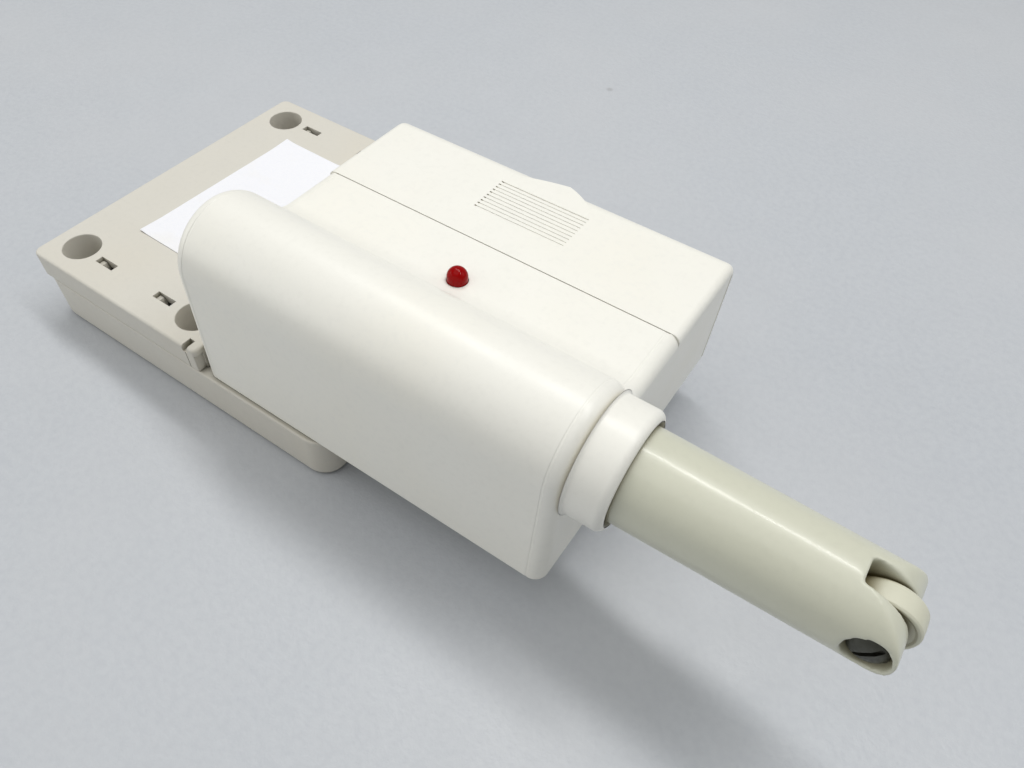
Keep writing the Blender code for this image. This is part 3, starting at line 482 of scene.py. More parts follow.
def lens_look():
    made = Surface("lamp_lens", (0.26, 0.0, 0.0), 0.1, IOR=1.45, Specular_IOR_Level=0.16)
    made.tint((0.30, 0.0, 0.002), made.noise(1.2 * MM, 2.0), 0.4, 0.7, 0.6)
    made.gloss(made.noise(0.4 * MM, 3.0), 0.4, 0.7, 0.05, 0.12)
    return made.done()


def board_look():
    """Green solder mask over copper tracks and a woven core."""
    made = Surface("solder_mask", (0.012, 0.11, 0.035), 0.38, Coat_Weight=0.5, Coat_Roughness=0.2)
    tracks = made.nodes.new("ShaderNodeTexBrick")
    tracks.inputs["Scale"].default_value = 420.0
    tracks.inputs["Mortar Size"].default_value = 0.06
    made.links.new(made.place, tracks.inputs["Vector"])
    made.tint((0.03, 0.22, 0.07), made.between(tracks.outputs["Fac"], 0.0, 1.0, 0.0, 1.0), 0.4, 0.6, 0.8)
    made.relief(tracks.outputs["Fac"], 0.03 * MM, 0.5)
    made.relief(made.noise(0.4 * MM, 2.0), 0.01 * MM, 0.4)
    made.tint((0.01, 0.06, 0.02), made.noise(6 * MM, 3.0), 0.5, 0.8, 0.4)
    return made.done()


def sleeve_look():
    """Shrunk sleeve of the cell: dark blue with a plain gold band at one end."""
    made = Surface("cell_sleeve", (0.02, 0.06, 0.20), 0.32, Coat_Weight=0.4, Coat_Roughness=0.15)
    split = made.nodes.new("ShaderNodeSeparateXYZ")
    made.links.new(made.place, split.inputs[0])
    band = made.between(split.outputs["X"], CELL[1].x - 14 * MM, CELL[1].x - 13.9 * MM)
    made.colour = made.mix(made.colour, (0.50, 0.33, 0.09), band)
    made.tint((0.01, 0.03, 0.12), made.noise(3 * MM, 3.0), 0.5, 0.8, 0.5)
    made.relief(made.noise(1.6 * MM, 2.0, (0.3, 1.0, 1.0)), 0.04 * MM, 0.4)
    return made.done()


def glass_look():
    made = Surface("reed_glass", (0.42, 0.60, 0.46), 0.04, Transmission_Weight=0.9, IOR=1.5)
    made.tint((0.30, 0.50, 0.36), made.noise(2 * MM, 2.0), 0.4, 0.7, 0.6)
    made.relief(made.noise(1.5 * MM, 1.0), 0.02 * MM, 0.3)
    return made.done()


def flexible(name, colour):
    """Soft wire insulation."""
    made = Surface(name, colour, 0.5, Sheen_Weight=0.2)
    made.tint(tuple(c * 0.6 for c in colour), made.noise(0.8 * MM, 3.0), 0.45, 0.75, 0.6)
    made.relief(made.noise(0.2 * MM, 3.0), 0.01 * MM, 0.4)
    return made.done()


# Plastics: the fresh colour and the aged one, then the shade in their corners (colour, reach, strength).
BASE_COLOURS = (0.645, 0.62, 0.562), (0.645, 0.603, 0.52)
HOUSING_COLOURS = (0.86, 0.845, 0.79), (0.86, 0.835, 0.755)
TUBE_COLOURS = (0.615, 0.615, 0.505), (0.60, 0.59, 0.465)
ROLLER_COLOURS = (0.63, 0.62, 0.50), (0.58, 0.56, 0.43)
CHIP_COLOURS = (0.018, 0.018, 0.02), (0.03, 0.028, 0.025)
BASE_SHADE = (0.13, 0.115, 0.06), 1.6 * MM, 0.85
HOUSING_SHADE = (0.45, 0.40, 0.28), 0.9 * MM, 0.4
TUBE_SHADE = (0.15, 0.11, 0.02), 3.0 * MM, 0.95
ROLLER_SHADE = (0.16, 0.12, 0.03), 2.5 * MM, 0.9
LOOKS = {
    "base_plastic": moulded(
        "base_plastic_grain", BASE_COLOURS, 0.55, (0.16 * MM, 0.022 * MM), shade=BASE_SHADE
    ),
    "housing_plastic": moulded(
        "housing_plastic_satin", HOUSING_COLOURS, 0.36, (0.22 * MM, 0.008 * MM), shade=HOUSING_SHADE
    ),
    "tube_plastic": moulded(
        "tube_plastic_gloss", TUBE_COLOURS, 0.33, (0.5 * MM, 0.003 * MM), coat=0.3, shade=TUBE_SHADE
    ),
    "roller_plastic": moulded(
        "roller_plastic_worn", ROLLER_COLOURS, 0.38, (0.3 * MM, 0.01 * MM), shade=ROLLER_SHADE
    ),
    "paper": paper_look(),
    "lamp_lens": lens_look(),
    "steel": metal("drawn_steel", (0.56, 0.57, 0.58), 0.32, (0.2, 1.0, 1.0)),
    "dark_steel": metal("dark_pin_steel", (0.10, 0.10, 0.085), 0.42),
    "screw_zinc": metal("zinc_plate", (0.60, 0.61, 0.62), 0.34),
    "circuit_board": board_look(),
    "black_plastic": moulded("moulding_compound", CHIP_COLOURS, 0.5, (0.1 * MM, 0.01 * MM)),
    "tinned_metal": metal("tin_plate", (0.68, 0.67, 0.64), 0.3),
    "copper_wire": metal("enamelled_copper", (0.70, 0.30, 0.12), 0.3, (0.3, 1.0, 1.0)),
    "reed_glass": glass_look(),
    "magnet": metal("sintered_ferrite", (0.09, 0.09, 0.10), 0.6),
    "cell_wrap": sleeve_look(),
    "red_insulation": flexible("red_wire_skin", (0.45, 0.012, 0.012)),
    "black_insulation": flexible("black_wire_skin", (0.015, 0.015, 0.016)),
}


def dress_cad_nodes():
    """Every CAD node gets the detailed material of its slot."""
    for part in frame["record"]["subparts"]:
        node = frame["nodes"][part["node"]]
        for slot in node.material_slots:
            slot.material = LOOKS[part["material_slot"]]
        if not node.material_slots:
            node.data.materials.append(LOOKS[part["material_slot"]])


def piece(obj, look, body, *nodes):
    """Gives a piece its material and body, and hides the CAD nodes that it stands for."""
    obj.data.materials.clear()
    obj.data.materials.append(LOOKS[look])
    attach(obj, body)
    if nodes:
        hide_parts(*nodes)
    return obj


# ---------------------------------------------------------------- base


def corner_places():
    xs = (COVER[0].x + RECESS_EDGE, COVER[1].x - RECESS_EDGE)
    ys = (COVER[0].y + RECESS_EDGE, COVER[1].y - RECESS_EDGE)
    return [(x, y) for y in ys for x in xs]


def slot_places():
    return [
        (COVER_MID_X + side * SLOT_OFFSET_X, y)
        for y in (-SLOT_Y, SLOT_Y)
        for side in (-1, 1)
    ]


def centre_of(node):
    low, high = span(node)
    return (low.x + high.x) / 2, (low.y + high.y) / 2


def snap_hook(x, y):
    """Hook that stands in the left part of a cover slot, with a bevelled top."""
    left = x - SLOT_LENGTH / 2 + 0.15 * MM
    top = COVER[1].z - 0.7 * MM
    right = left + 1.25 * MM
    outline = [(left, TRAY_FLOOR / 2), (right, TRAY_FLOOR / 2), (right, top - 0.8 * MM)]
    outline += [(right - 0.45 * MM, top), (left, top)]
    return prism("hook", outline, *about(y, 0.62 * MM), "Y")


def make_tray():
    """Lower shell: rounded outside, hollow inside, roofed over at its right."""
    low, high = TRAY

    def outline(inset):
        r = TRAY_CORNER_R - inset * 0.8
        return rounded_rectangle(low.x + inset, high.x - inset, low.y + inset, high.y - inset, r, r)

    tray = slab("tray_shell", outline, (0.0, TRAY_TOP), TRAY_LOW_EDGE, TRAY_TOP_EDGE)

    def inner(x1):
        y0, y1 = low.y + BASE_WALL, high.y - BASE_WALL
        return rounded_rectangle(low.x + BASE_WALL, x1, y0, y1, 2.2 * MM, 0.6 * MM)

    roof = TRAY_TOP - DECK_THICK
    combine(tray, "DIFFERENCE", [prism("hollow", inner(high.x - BASE_WALL - 2 * MM), TRAY_FLOOR, roof)])
    combine(tray, "DIFFERENCE", [prism("mouth", inner(DECK_X0), roof - PAST, TRAY_TOP + PAST)])
    added = [rod("boss", SKIRT_R, *BOSS_Z, "Z", place, 48) for place in corner_places()]
    added += [snap_hook(x, y) for x, y in slot_places()]
    posts = [centre_of(f"radio_board_screw_{i}") for i in (1, 2)]
    added += [rod("post", POST_R, BOSS_Z[0], POST_TOP, "Z", post, 32) for post in posts]
    combine(tray, "UNION", added)
    cuts = []
    for place in corner_places():
        rim = [(0, -PAST), (2.9 * MM, -PAST), (2.9 * MM, 0.0), (WALL_SCREW_R, 0.5 * MM)]
        rim += [(WALL_SCREW_R, 6 * MM), (0, 6 * MM)]
        cuts.append(turned("screw_hole", rim, "Z", place, 48))
    for i, post in enumerate(posts, 1):
        rim = [(0, -PAST), (3.3 * MM, -PAST), (3.3 * MM, 0.0), (2.9 * MM, 0.3 * MM), (2.9 * MM, 2 * MM)]
        rim += [(1.4 * MM, 2 * MM), (1.4 * MM, 12 * MM), (0, 12 * MM)]
        cuts.append(turned("counterbore", rim, "Z", centre_of(f"base_screw_{i}"), 40))
        cuts.append(rod("pilot", PILOT_R, 3 * MM, 8 * MM, "Z", post, 20))
    button = centre_of("tamper_button")
    rim = [(0, -PAST), (2.2 * MM, -PAST), (2.2 * MM, 0.0), (1.8 * MM, 0.3 * MM)]
    rim += [(1.8 * MM, 3 * MM), (0, 3 * MM)]
    cuts.append(turned("button_hole", rim, "Z", button, 40))
    combine(tray, "DIFFERENCE", cuts)
    piece(smooth(tray), "base_plastic", "base", "base_tray")


def make_cover():
    """Upper shell: rounded top edge, skirted screw recesses, hook slots, and a notch by the housing."""
    low, high = COVER
    seat = TRAY_TOP + COVER_GAP

    def outline(inset):
        left_r, right_r = 1.4 * MM - inset * 0.6, 0.8 * MM - inset * 0.6
        x, y = (low.x + inset, high.x - inset), (low.y + inset, high.y - inset)
        return rounded_rectangle(*x, *y, left_r, right_r)

    cover = slab("cover_shell", outline, (seat, high.z), 0.22 * MM, 0.5 * MM)
    inside = rounded_rectangle(
        low.x + BASE_WALL, high.x - BASE_WALL, low.y + BASE_WALL, high.y - BASE_WALL, 0.6 * MM, 0.4 * MM
    )
    combine(cover, "DIFFERENCE", [prism("hollow", inside, seat - PAST, high.z - COVER_PLATE)])
    top = high.z - COVER_PLATE / 2
    skirts = [rod("skirt", SKIRT_R, SKIRT_LOW, top, "Z", place, 64) for place in corner_places()]
    combine(cover, "UNION", skirts)
    rim = [(0, 3 * MM), (RECESS_R - 0.1 * MM, 3 * MM), (RECESS_R, high.z - 0.28 * MM)]
    rim += [(RECESS_R + 0.06 * MM, high.z - 0.1 * MM), (RECESS_R + 0.28 * MM, high.z + 0.02 * MM)]
    rim += [(RECESS_R + 0.28 * MM, high.z + PAST), (0, high.z + PAST)]
    cuts = [turned("recess", rim, "Z", p, 80) for p in corner_places()]
    for x, y in slot_places():
        size_x, size_y = about(x, SLOT_LENGTH / 2), about(y, SLOT_WIDTH / 2)
        cuts.append(box("slot", size_x, size_y, (seat, high.z + PAST)))
    front = low.y - PAST
    notch_z = (high.z - 1.25 * MM, high.z + PAST)
    cuts.append(box("notch", about(NOTCH_X, NOTCH_WIDTH / 2), (front, low.y + NOTCH_DEPTH), notch_z))
    combine(cover, "DIFFERENCE", cuts)
    slit_x, slit_z = (high.x - 0.45 * MM, high.x + PAST), (seat - PAST, high.z - 1.2 * MM)
    combine(cover, "DIFFERENCE", [box("slit", slit_x, (front, low.y + 1.6 * MM), slit_z)])
    line_z = (seat - PAST, high.z - 1.0 * MM)
    line = box("line", about(NOTCH_X, 0.1 * MM), (front, low.y + 0.09 * MM), line_z)
    combine(cover, "DIFFERENCE", [line])
    piece(smooth(cover), "base_plastic", "base", "base_cover")


def make_label():
    """Paper label, turned a little and lifting slightly at its corners."""
    half_x, half_y, tilt = 7.5 * MM, 17.8 * MM, math.radians(1.2)
    centre = (LABEL[0] + LABEL[1]) / 2
    rows, columns = 44, 20
    bm = bmesh.new()
    sheets = []
    for lift in (0.0, 0.11 * MM):
        grid = []
        for j in range(rows + 1):
            line = []
            for i in range(columns + 1):
                u, v = 2 * i / columns - 1, 2 * j / rows - 1
                corner = max(abs(u) + abs(v) - 1.75, 0.0) * 0.9 * MM
                wave = 0.018 * MM * math.sin(5.0 * u + 1.3) * math.sin(7.0 * v + 0.4)
                x, y = u * half_x, v * half_y
                x, y = x * math.cos(tilt) + y * math.sin(tilt), y * math.cos(tilt) - x * math.sin(tilt)
                height = COVER[1].z + 0.04 * MM + lift + corner + abs(wave)
                line.append(bm.verts.new((centre.x + x, centre.y + y, height)))
            grid.append(line)
        sheets.append(grid)
    for grid in sheets:
        for j in range(rows):
            for i in range(columns):
                bm.faces.new((grid[j][i], grid[j][i + 1], grid[j + 1][i + 1], grid[j + 1][i]))
    edge = [(0, i) for i in range(columns)] + [(j, columns) for j in range(rows)]
    edge += [(rows, i) for i in range(columns, 0, -1)] + [(j, 0) for j in range(rows, 0, -1)]
    for (j, i), (m, k) in zip(edge, edge[1:] + edge[:1]):
        bm.faces.new((sheets[0][j][i], sheets[0][m][k], sheets[1][m][k], sheets[1][j][i]))
    piece(smooth(mesh_object("label_sheet", bm), 50), "paper", "base", "paper_label")


# ---------------------------------------------------------------- housing


def section(inset, low_z, end_y):
    """Housing section in (Y, Z), drawn in by inset: front foot, bulge, fillet, flat top, and rear end."""
    points = [(FRONT_Y + inset, low_z), (FRONT_Y + inset * 0.99 + 0.04 * MM, low_z + 1.5 * MM)]
    points += arc(AXIS_Y, AXIS_Z, BULGE_R - inset, math.pi, FILLET_ANGLE, 56)
    points += arc(FILLET_Y, FILLET_Z, FILLET_R + inset, math.pi + FILLET_ANGLE, 3 * QUARTER, 18)
    return points + [(end_y, HOUSING_TOP - inset), (end_y, low_z)]


def end_stations(x0, x1, r, steps, creased=False):
    """(x, inset) along a body with both ends rounded; a fine crease may mark where each rounding starts."""
    angles = [QUARTER * i / steps for i in range(steps + 1)]
    left = [(x0 + r * (1 - math.cos(a)), r * (1 - math.sin(a))) for a in angles]
    if creased:
        start, stop = x0 + r + 0.04 * MM, x0 + r + CREASE
        left += [(start, CREASE_DEEP), (stop, CREASE_DEEP), (stop + 0.05 * MM, 0.0)]
    return left + [(x0 + x1 - x, inset) for x, inset in reversed(left)]


def make_housing():
    """Main shell: rounded ends, hollow front for the plunger, open rear bay for the cell."""
    x0, x1 = HOUSING[0].x, HOUSING[1].x
    seam = SEAM_Y - SEAM / 2
    low = HOUSING_LOW
    stations = end_stations(x0, x1, END_R, 7, creased=True)
    rings = [[(x, y, z) for y, z in section(inset, low, seam)] for x, inset in stations]
    shell = skin("housing_shell", rings)
    shelf = HOUSING_TOP - DOOR_PLATE - 0.06 * MM
    rear = REAR_Y - DOOR_PLATE - 0.06 * MM

    def bay_outline(inset):
        return rounded_rectangle(x0 + inset, x1 - inset, seam - 2 * MM, rear, 0.4 * MM, 0.4 * MM)

    combine(shell, "UNION", [slab("bay", bay_outline, (low, shelf), 0.05 * MM, 0.1 * MM)])
    bay_y = SEAM_Y - 0.15 * MM
    bulkhead_y = bay_y - BULKHEAD
    inside = (x0 + WALL, x1 - WALL)
    front = prism("hollow", section(WALL, low - PAST, bulkhead_y), *inside, "X")
    bay = box("bay_hollow", inside, (bay_y, REAR_Y + PAST), (low - PAST, HOUSING_TOP + PAST))
    combine(shell, "DIFFERENCE", [front, bay])
    axis = (AXIS_Y, AXIS_Z)
    screws = [centre_of(f"floor_screw_{i}") for i in (1, 2, 3, 4)]
    added = [rod("boss", BOSS_R, low + 1.9 * MM, BOARD_LEVEL, "Z", screw, 40) for screw in screws]
    added.append(rod("socket", SOCKET_R, x0 + WALL / 2, SPRING[0].x + 2.7 * MM, "X", axis, 48))
    combine(shell, "UNION", added)
    cuts = [
        rod("collar_hole", SLEEVE_R + 0.1 * MM, inside[1] - PAST, x1 + PAST, "X", axis),
        rod("rod_hole", ROD_HOLE_R, inside[0], 20 * MM, "X", axis, 40),
    ]
    rim = [(0, -3 * MM), (1.62 * MM, -3 * MM), (1.62 * MM, 0.05 * MM)]
    rim += [(1.95 * MM, 0.4 * MM), (1.95 * MM, 2 * MM), (0, 2 * MM)]
    rim = [(r, HOUSING_TOP + z) for r, z in rim]
    cuts.append(turned("lamp_hole", rim, "Z", centre_of("led_lamp"), 56))
    floor = span("housing_floor")
    room_x, room_y = (floor[0].x - 0.1 * MM, floor[1].x + 0.1 * MM), (floor[0].y - 0.1 * MM, REAR_Y + PAST)
    cuts.append(box("floor_room", room_x, room_y, (low - PAST, low + FLOOR_ROOM)))
    cuts += [rod("pilot", PILOT_R, low + 1.75 * MM, 17.9 * MM, "Z", screw, 20) for screw in screws]
    for node in ("battery_wire_negative", "battery_wire_positive"):
        wire = span(node)
        x = wire[0].x + 0.45 * MM if wire[0].x < 30 * MM else wire[1].x - 0.45 * MM
        cuts.append(box("wire_notch", about(x, MM), (bulkhead_y - PAST, SEAM_Y + PAST), (21 * MM, 23 * MM)))
    combine(shell, "DIFFERENCE", cuts)
    depth, height = MOULD_LINE
    line = [(FRONT_Y - PAST, MOULD_LINE_Z), (FRONT_Y + depth, MOULD_LINE_Z)]
    line.append((FRONT_Y - PAST, MOULD_LINE_Z + height))
    combine(shell, "DIFFERENCE", [prism("line", line, x0 + 4 * MM, x1 - 4 * MM, "X")])
    piece(smooth(shell), "housing_plastic", "base", "housing")


def door_section(inset):
    """Outside of the battery cover in (Y, Z), drawn in by inset at its top and rear."""
    r = DOOR_EDGE_R - inset
    y0 = SEAM_Y + SEAM / 2
    points = [(y0, DOOR_LOW), (y0, HOUSING_TOP - inset)]
    points += arc(REAR_Y - DOOR_EDGE_R, HOUSING_TOP - DOOR_EDGE_R, r, QUARTER, 0, 12)
    return points + [(REAR_Y - inset, DOOR_LOW)]


def thumb_ledge():
    """Flat tongue behind the grooves, which keeps the top's level over the rounded rear edge."""
    left, right = (GRIP_X0 + 0.2 * MM, 19.2 * MM), (GRIP_X1 - 0.7 * MM, 18.9 * MM)
    apex = (41.2 * MM, 22.0 * MM)
    outline = [(left[0], left[1] - 2 * MM), (right[0], right[1] - 2 * MM), right]
    for start, end, bulge in ((right, apex, 0.35 * MM), (apex, left, 0.25 * MM)):
        for k in range(1, 9):
            t = k / 8
            x, y = start[0] + (end[0] - start[0]) * t, start[1] + (end[1] - start[1]) * t
            outline.append((x, y + 4 * bulge * t * (1 - t)))

    def level(inset):
        middle = Vector((39.5 * MM, 19.0 * MM))
        return [tuple(middle + (Vector(p) - middle) * (1 - inset / (3.5 * MM))) for p in outline]

    return slab("ledge", level, (HOUSING_TOP - 0.95 * MM, HOUSING_TOP + 0.02 * MM), 0.5 * MM, 0.16 * MM, 4)


def make_door():
    """Battery cover: top panel and rear wall, grooved grip, thumb ledge, and two guide ribs inside."""
    x0, x1 = DOOR[0].x, DOOR[1].x
    stations = end_stations(x0, x1, DOOR_END_R, 6)
    door = skin("door_panel", [[(x, y, z) for y, z in door_section(inset)] for x, inset in stations])
    ceiling, into = HOUSING_TOP - DOOR_PLATE, HOUSING_TOP - DOOR_PLATE / 2
    under_y, under_z = (SEAM_Y - PAST, REAR_Y - DOOR_PLATE), (DOOR_LOW - PAST, ceiling)
    combine(door, "DIFFERENCE", [box("under", (x0 - PAST, x1 + PAST), under_y, under_z)])
    guides = [
        box("guide", (x, x + MM), (SEAM_Y + 2 * MM, REAR_Y - 4 * MM), (23.5 * MM, into))
        for x in (x0 + WALL + 0.3 * MM, x1 - WALL - 1.3 * MM)
    ]
    ribs = [
        box("rib", (x, x + 0.8 * MM), (SEAM_Y + 3 * MM, REAR_Y - 3 * MM), (ceiling - 0.8 * MM, into))
        for x in (x0 + 16 * MM, x1 - 17 * MM)
    ]
    combine(door, "UNION", [*guides, *ribs])
    combine(door, "UNION", [thumb_ledge()])
    pitch = (GRIP_Y1 - GRIP_Y0) / GRIP_RIBS
    cuts = []
    for i in range(GRIP_RIBS):
        rear = GRIP_Y0 + (i + 1) * pitch
        deep = GRIP_DEPTH * (1.5 if i == GRIP_RIBS - 1 else 1.0)
        tooth = [(rear - pitch * 0.62, HOUSING_TOP + 0.3 * MM), (rear - 0.05 * MM, HOUSING_TOP - deep)]
        tooth += [(rear + 0.05 * MM, HOUSING_TOP - deep), (rear + 0.1 * MM, HOUSING_TOP + 0.3 * MM)]
        cuts.append(prism("groove", tooth, GRIP_X0, GRIP_X1, "X"))
    combine(door, "DIFFERENCE", cuts)
    pit_x, pit_z = (GRIP_X0 - 0.2 * MM, GRIP_X0 + 0.15 * MM), (HOUSING_TOP - 0.5 * MM, HOUSING_TOP + PAST)
    ends = [GRIP_Y0 + (i + 1) * pitch for i in range(GRIP_RIBS)]
    combine(door, "DIFFERENCE", [box("pit", pit_x, about(y, PIT), pit_z) for y in ends])
    piece(smooth(door), "housing_plastic", "battery_door", "battery_cover")


# ---------------------------------------------------------------- plunger


def make_collar():
    """Bush with a rounded collar that flares softly into the housing's end, and a sleeve inside."""
    x0, x1 = COLLAR[0].x, COLLAR[1].x
    face = HOUSING[1].x + 0.02 * MM
    outer = (COLLAR[1].z - COLLAR[0].z) / 2
    foot, lip = 0.45 * MM, 1.1 * MM
    profile = [(SLEEVE_BORE, x0), (SLEEVE_R, x0), (SLEEVE_R, face), (outer + foot, face)]
    profile += [(r, x) for x, r in arc(face + foot, outer + foot, foot, math.pi, 3 * QUARTER, 6)]
    profile += [(r, x) for x, r in arc(x1 - lip, outer - lip, lip, QUARTER, 0, 10)]
    profile += [(7.05 * MM, x1), (6.85 * MM, x1 - 0.2 * MM), (6.78 * MM, MOUTH_X), (SLEEVE_BORE, MOUTH_X)]
    collar = turned("collar_ring", profile, "X", (AXIS_Y, AXIS_Z), 128)
    piece(smooth(collar, 50), "housing_plastic", "base", "collar_bush")


def make_tube():
    """Arm: bored from behind, forked and rounded at its outer end, with a counterbored pin hole."""
    axis = (AXIS_Y, AXIS_Z)
    x0, end = TUBE[0].x, NOSE_X + NOSE_LENGTH
    ring = span("stop_ring")
    groove = [(TUBE_R, ring[0].x - 0.08 * MM), (5.5 * MM, ring[0].x - 0.08 * MM)]
    groove += [(5.5 * MM, ring[1].x + 0.08 * MM), (TUBE_R, ring[1].x + 0.08 * MM)]
    profile = [(TUBE_BORE, x0), (TUBE_R - 0.3 * MM, x0), (TUBE_R, x0 + 0.3 * MM), *groove, (TUBE_R, TAPER_X)]
    profile += [(TIP_R, end), (0, end), (0, BORE_X1), (TUBE_BORE, BORE_X1)]
    tube = turned("tube_arm", profile, "X", axis, 128)
    far, high, low = end + PAST, AXIS_Z + 2 * TUBE_R, AXIS_Z - 2 * TUBE_R
    nose = [(NOSE_X, high), (far, high), (far, low), (NOSE_X, low)]
    half_round = arc(0, 0, 1.0, -QUARTER, QUARTER, 48)
    nose += [(NOSE_X + NOSE_LENGTH * u, AXIS_Z + NOSE_R * v) for u, v in half_round]
    y0, y1 = AXIS_Y - TIP_R, AXIS_Y + TIP_R
    combine(tube, "DIFFERENCE", [prism("nose", nose, y0 - PAST, y1 + PAST, "Y")])
    reach = math.acos((PIN_X - FORK_ROOT_X) / POCKET_R)
    slot = [(FORK_ROOT_X, low), (far, low), (far, high), (FORK_ROOT_X, high)]
    slot += arc(PIN_X, AXIS_Z, POCKET_R, 2 * QUARTER - reach, 2 * QUARTER + reach, 16)
    combine(tube, "DIFFERENCE", [prism("slot", slot, AXIS_Y - FORK_SLOT / 2, AXIS_Y + FORK_SLOT / 2, "Y")])
    pin = (PIN_X, AXIS_Z)
    combine(tube, "DIFFERENCE", [rod("pin_hole", 1.1 * MM, y0, y1 - 0.9 * MM, "Y", pin, 32)])
    deep = y0 + 1.6 * MM
    seat = [(0, y0 - PAST), (2.5 * MM, y0 - PAST), (2.4 * MM, deep), (0, deep)]
    combine(tube, "DIFFERENCE", [turned("head_recess", seat, "Y", pin, 56)])
    grid = tube.modifiers.new("even_grid", "REMESH")
    grid.mode = "VOXEL"
    grid.voxel_size = 0.22 * MM
    worn = tube.modifiers.new("worn_edges", "SMOOTH")
    worn.iterations = 16
    piece(smooth(tube, 80), "tube_plastic", "plunger", "plunger_tube")


def make_roller():
    """Roller: crowned rim, dished sides and a hub round the pin."""
    low, high = WHEEL[0].y, WHEEL[1].y
    r = (WHEEL[1].x - WHEEL[0].x) / 2
    bore, dish = 1.08 * MM, 0.22 * MM
    side = [(bore, low), (1.9 * MM, low), (2.1 * MM, low + dish)]
    side += [(r - 0.75 * MM, low + dish), (r - 0.5 * MM, low + 0.05 * MM)]
    rim = [(r - 0.22 * MM, low + 0.08 * MM), (r - 0.04 * MM, low + 0.35 * MM), (r, (low + high) / 2)]
    half = side + rim
    profile = half + [(radius, low + high - y) for radius, y in reversed(half[:-1])]
    wheel = turned("roller_wheel", soft_corners(profile, 0.18 * MM), "Y", (PIN_X, AXIS_Z), 96)
    piece(smooth(wheel, 50), "roller_plastic", "roller", "tip_roller")


def make_pin():
    """Pin with a domed, slotted head."""
    low, high = PIN[0].y, PIN[1].y
    head = low + 1.0 * MM
    profile = [(0, low - 0.05 * MM), (0.9 * MM, low), (1.6 * MM, low + 0.2 * MM), (2.1 * MM, low + 0.6 * MM)]
    profile += [(2.1 * MM, head), (1.0 * MM, head), (1.0 * MM, high - 0.3 * MM), (0.8 * MM, high), (0, high)]
    pin = turned("pin_headed", profile, "Y", (PIN_X, AXIS_Z), 48)
    cut = box("cut", about(PIN_X, 0.28 * MM), (low - PAST, low + 0.45 * MM), about(AXIS_Z, 3 * MM))
    cut.data.transform(turned_about((PIN_X, 0, AXIS_Z), math.radians(35), "Y"))
    combine(pin, "DIFFERENCE", [cut])
    piece(smooth(pin, 35), "dark_steel", "plunger", "roller_pin")


def turned_about(place, angle, axis):
    there = Matrix.Translation(place)
    return there @ Matrix.Rotation(angle, 4, axis) @ there.inverted()


def make_springs():
    """Return spring and tamper spring."""
    axis = (AXIS_Y, AXIS_Z)
    wire = 0.4 * MM
    spring = coil("coil_spring", axis, 5.0 * MM, SPRING[0].x + wire, SPRING[1].x - wire, 12, wire)
    piece(spring, "steel", "base", "return_spring")
    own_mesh(spring)
    low, high = span("tamper_spring")
    centre = centre_of("tamper_button")
    ends = (low.z + 0.2 * MM, high.z - 0.2 * MM)
    small = coil("tamper_coil", centre, 1.8 * MM, *ends, 3, 0.18 * MM, "Z", 24, 6)
    piece(small, "steel", "base", "tamper_spring")
    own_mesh(small)


# ---------------------------------------------------------------- lamp, boards and cell


def make_lamp():
    """Red lamp: domed lens on a flange."""
    low, high = LAMP
    centre = centre_of("led_lamp")
    r, flange_r = 1.55 * MM, 2.0 * MM
    flange_top = HOUSING_TOP - WALL - 0.3 * MM
    profile = [(0, low.z), (flange_r - 0.1 * MM, low.z), (flange_r, low.z + 0.1 * MM)]
    profile += [(flange_r, flange_top), (r, flange_top)]
    dome = high.z - r - 0.35 * MM
    profile += arc(0, dome, r, 0, QUARTER, 14)[:-1] + [(0, dome + r)]
    lens = turned("lamp_dome", profile, "Z", centre, 64)
    piece(smooth(lens, 40), "lamp_lens", "base", "led_lamp")


LEG_SECTION = [(u * 0.16 * MM, v * 0.04 * MM) for u, v in ((-1, -1), (1, -1), (1, 1), (-1, 1))]


def chip(name, x, y, z, size, legs=0, look="black_plastic"):
    """Package with chamfered edges and a row of bent legs along two sides."""
    length, width, height = size
    body = soft_box(name, about(x, length / 2), about(y, width / 2), (z + 0.1 * MM, z + height), 0.1 * MM)
    piece(smooth(body), look, "base")
    if not legs:
        return
    pins = []
    for side in (-1, 1):
        for k in range(legs):
            px = x - length / 2 + length * (k + 0.5) / legs
            edge, out = y + side * width / 2, side * 0.8 * MM
            path = [(px, edge, z + height * 0.55), (px, edge + out * 0.5, z + height * 0.5)]
            path += [(px, edge + out * 0.75, z + 0.08 * MM), (px, edge + out * 1.3, z + 0.05 * MM)]
            pins.append(sweep("leg", path, LEG_SECTION))
    piece(smooth(together(pins)), "tinned_metal", "base").name = name + "_legs"


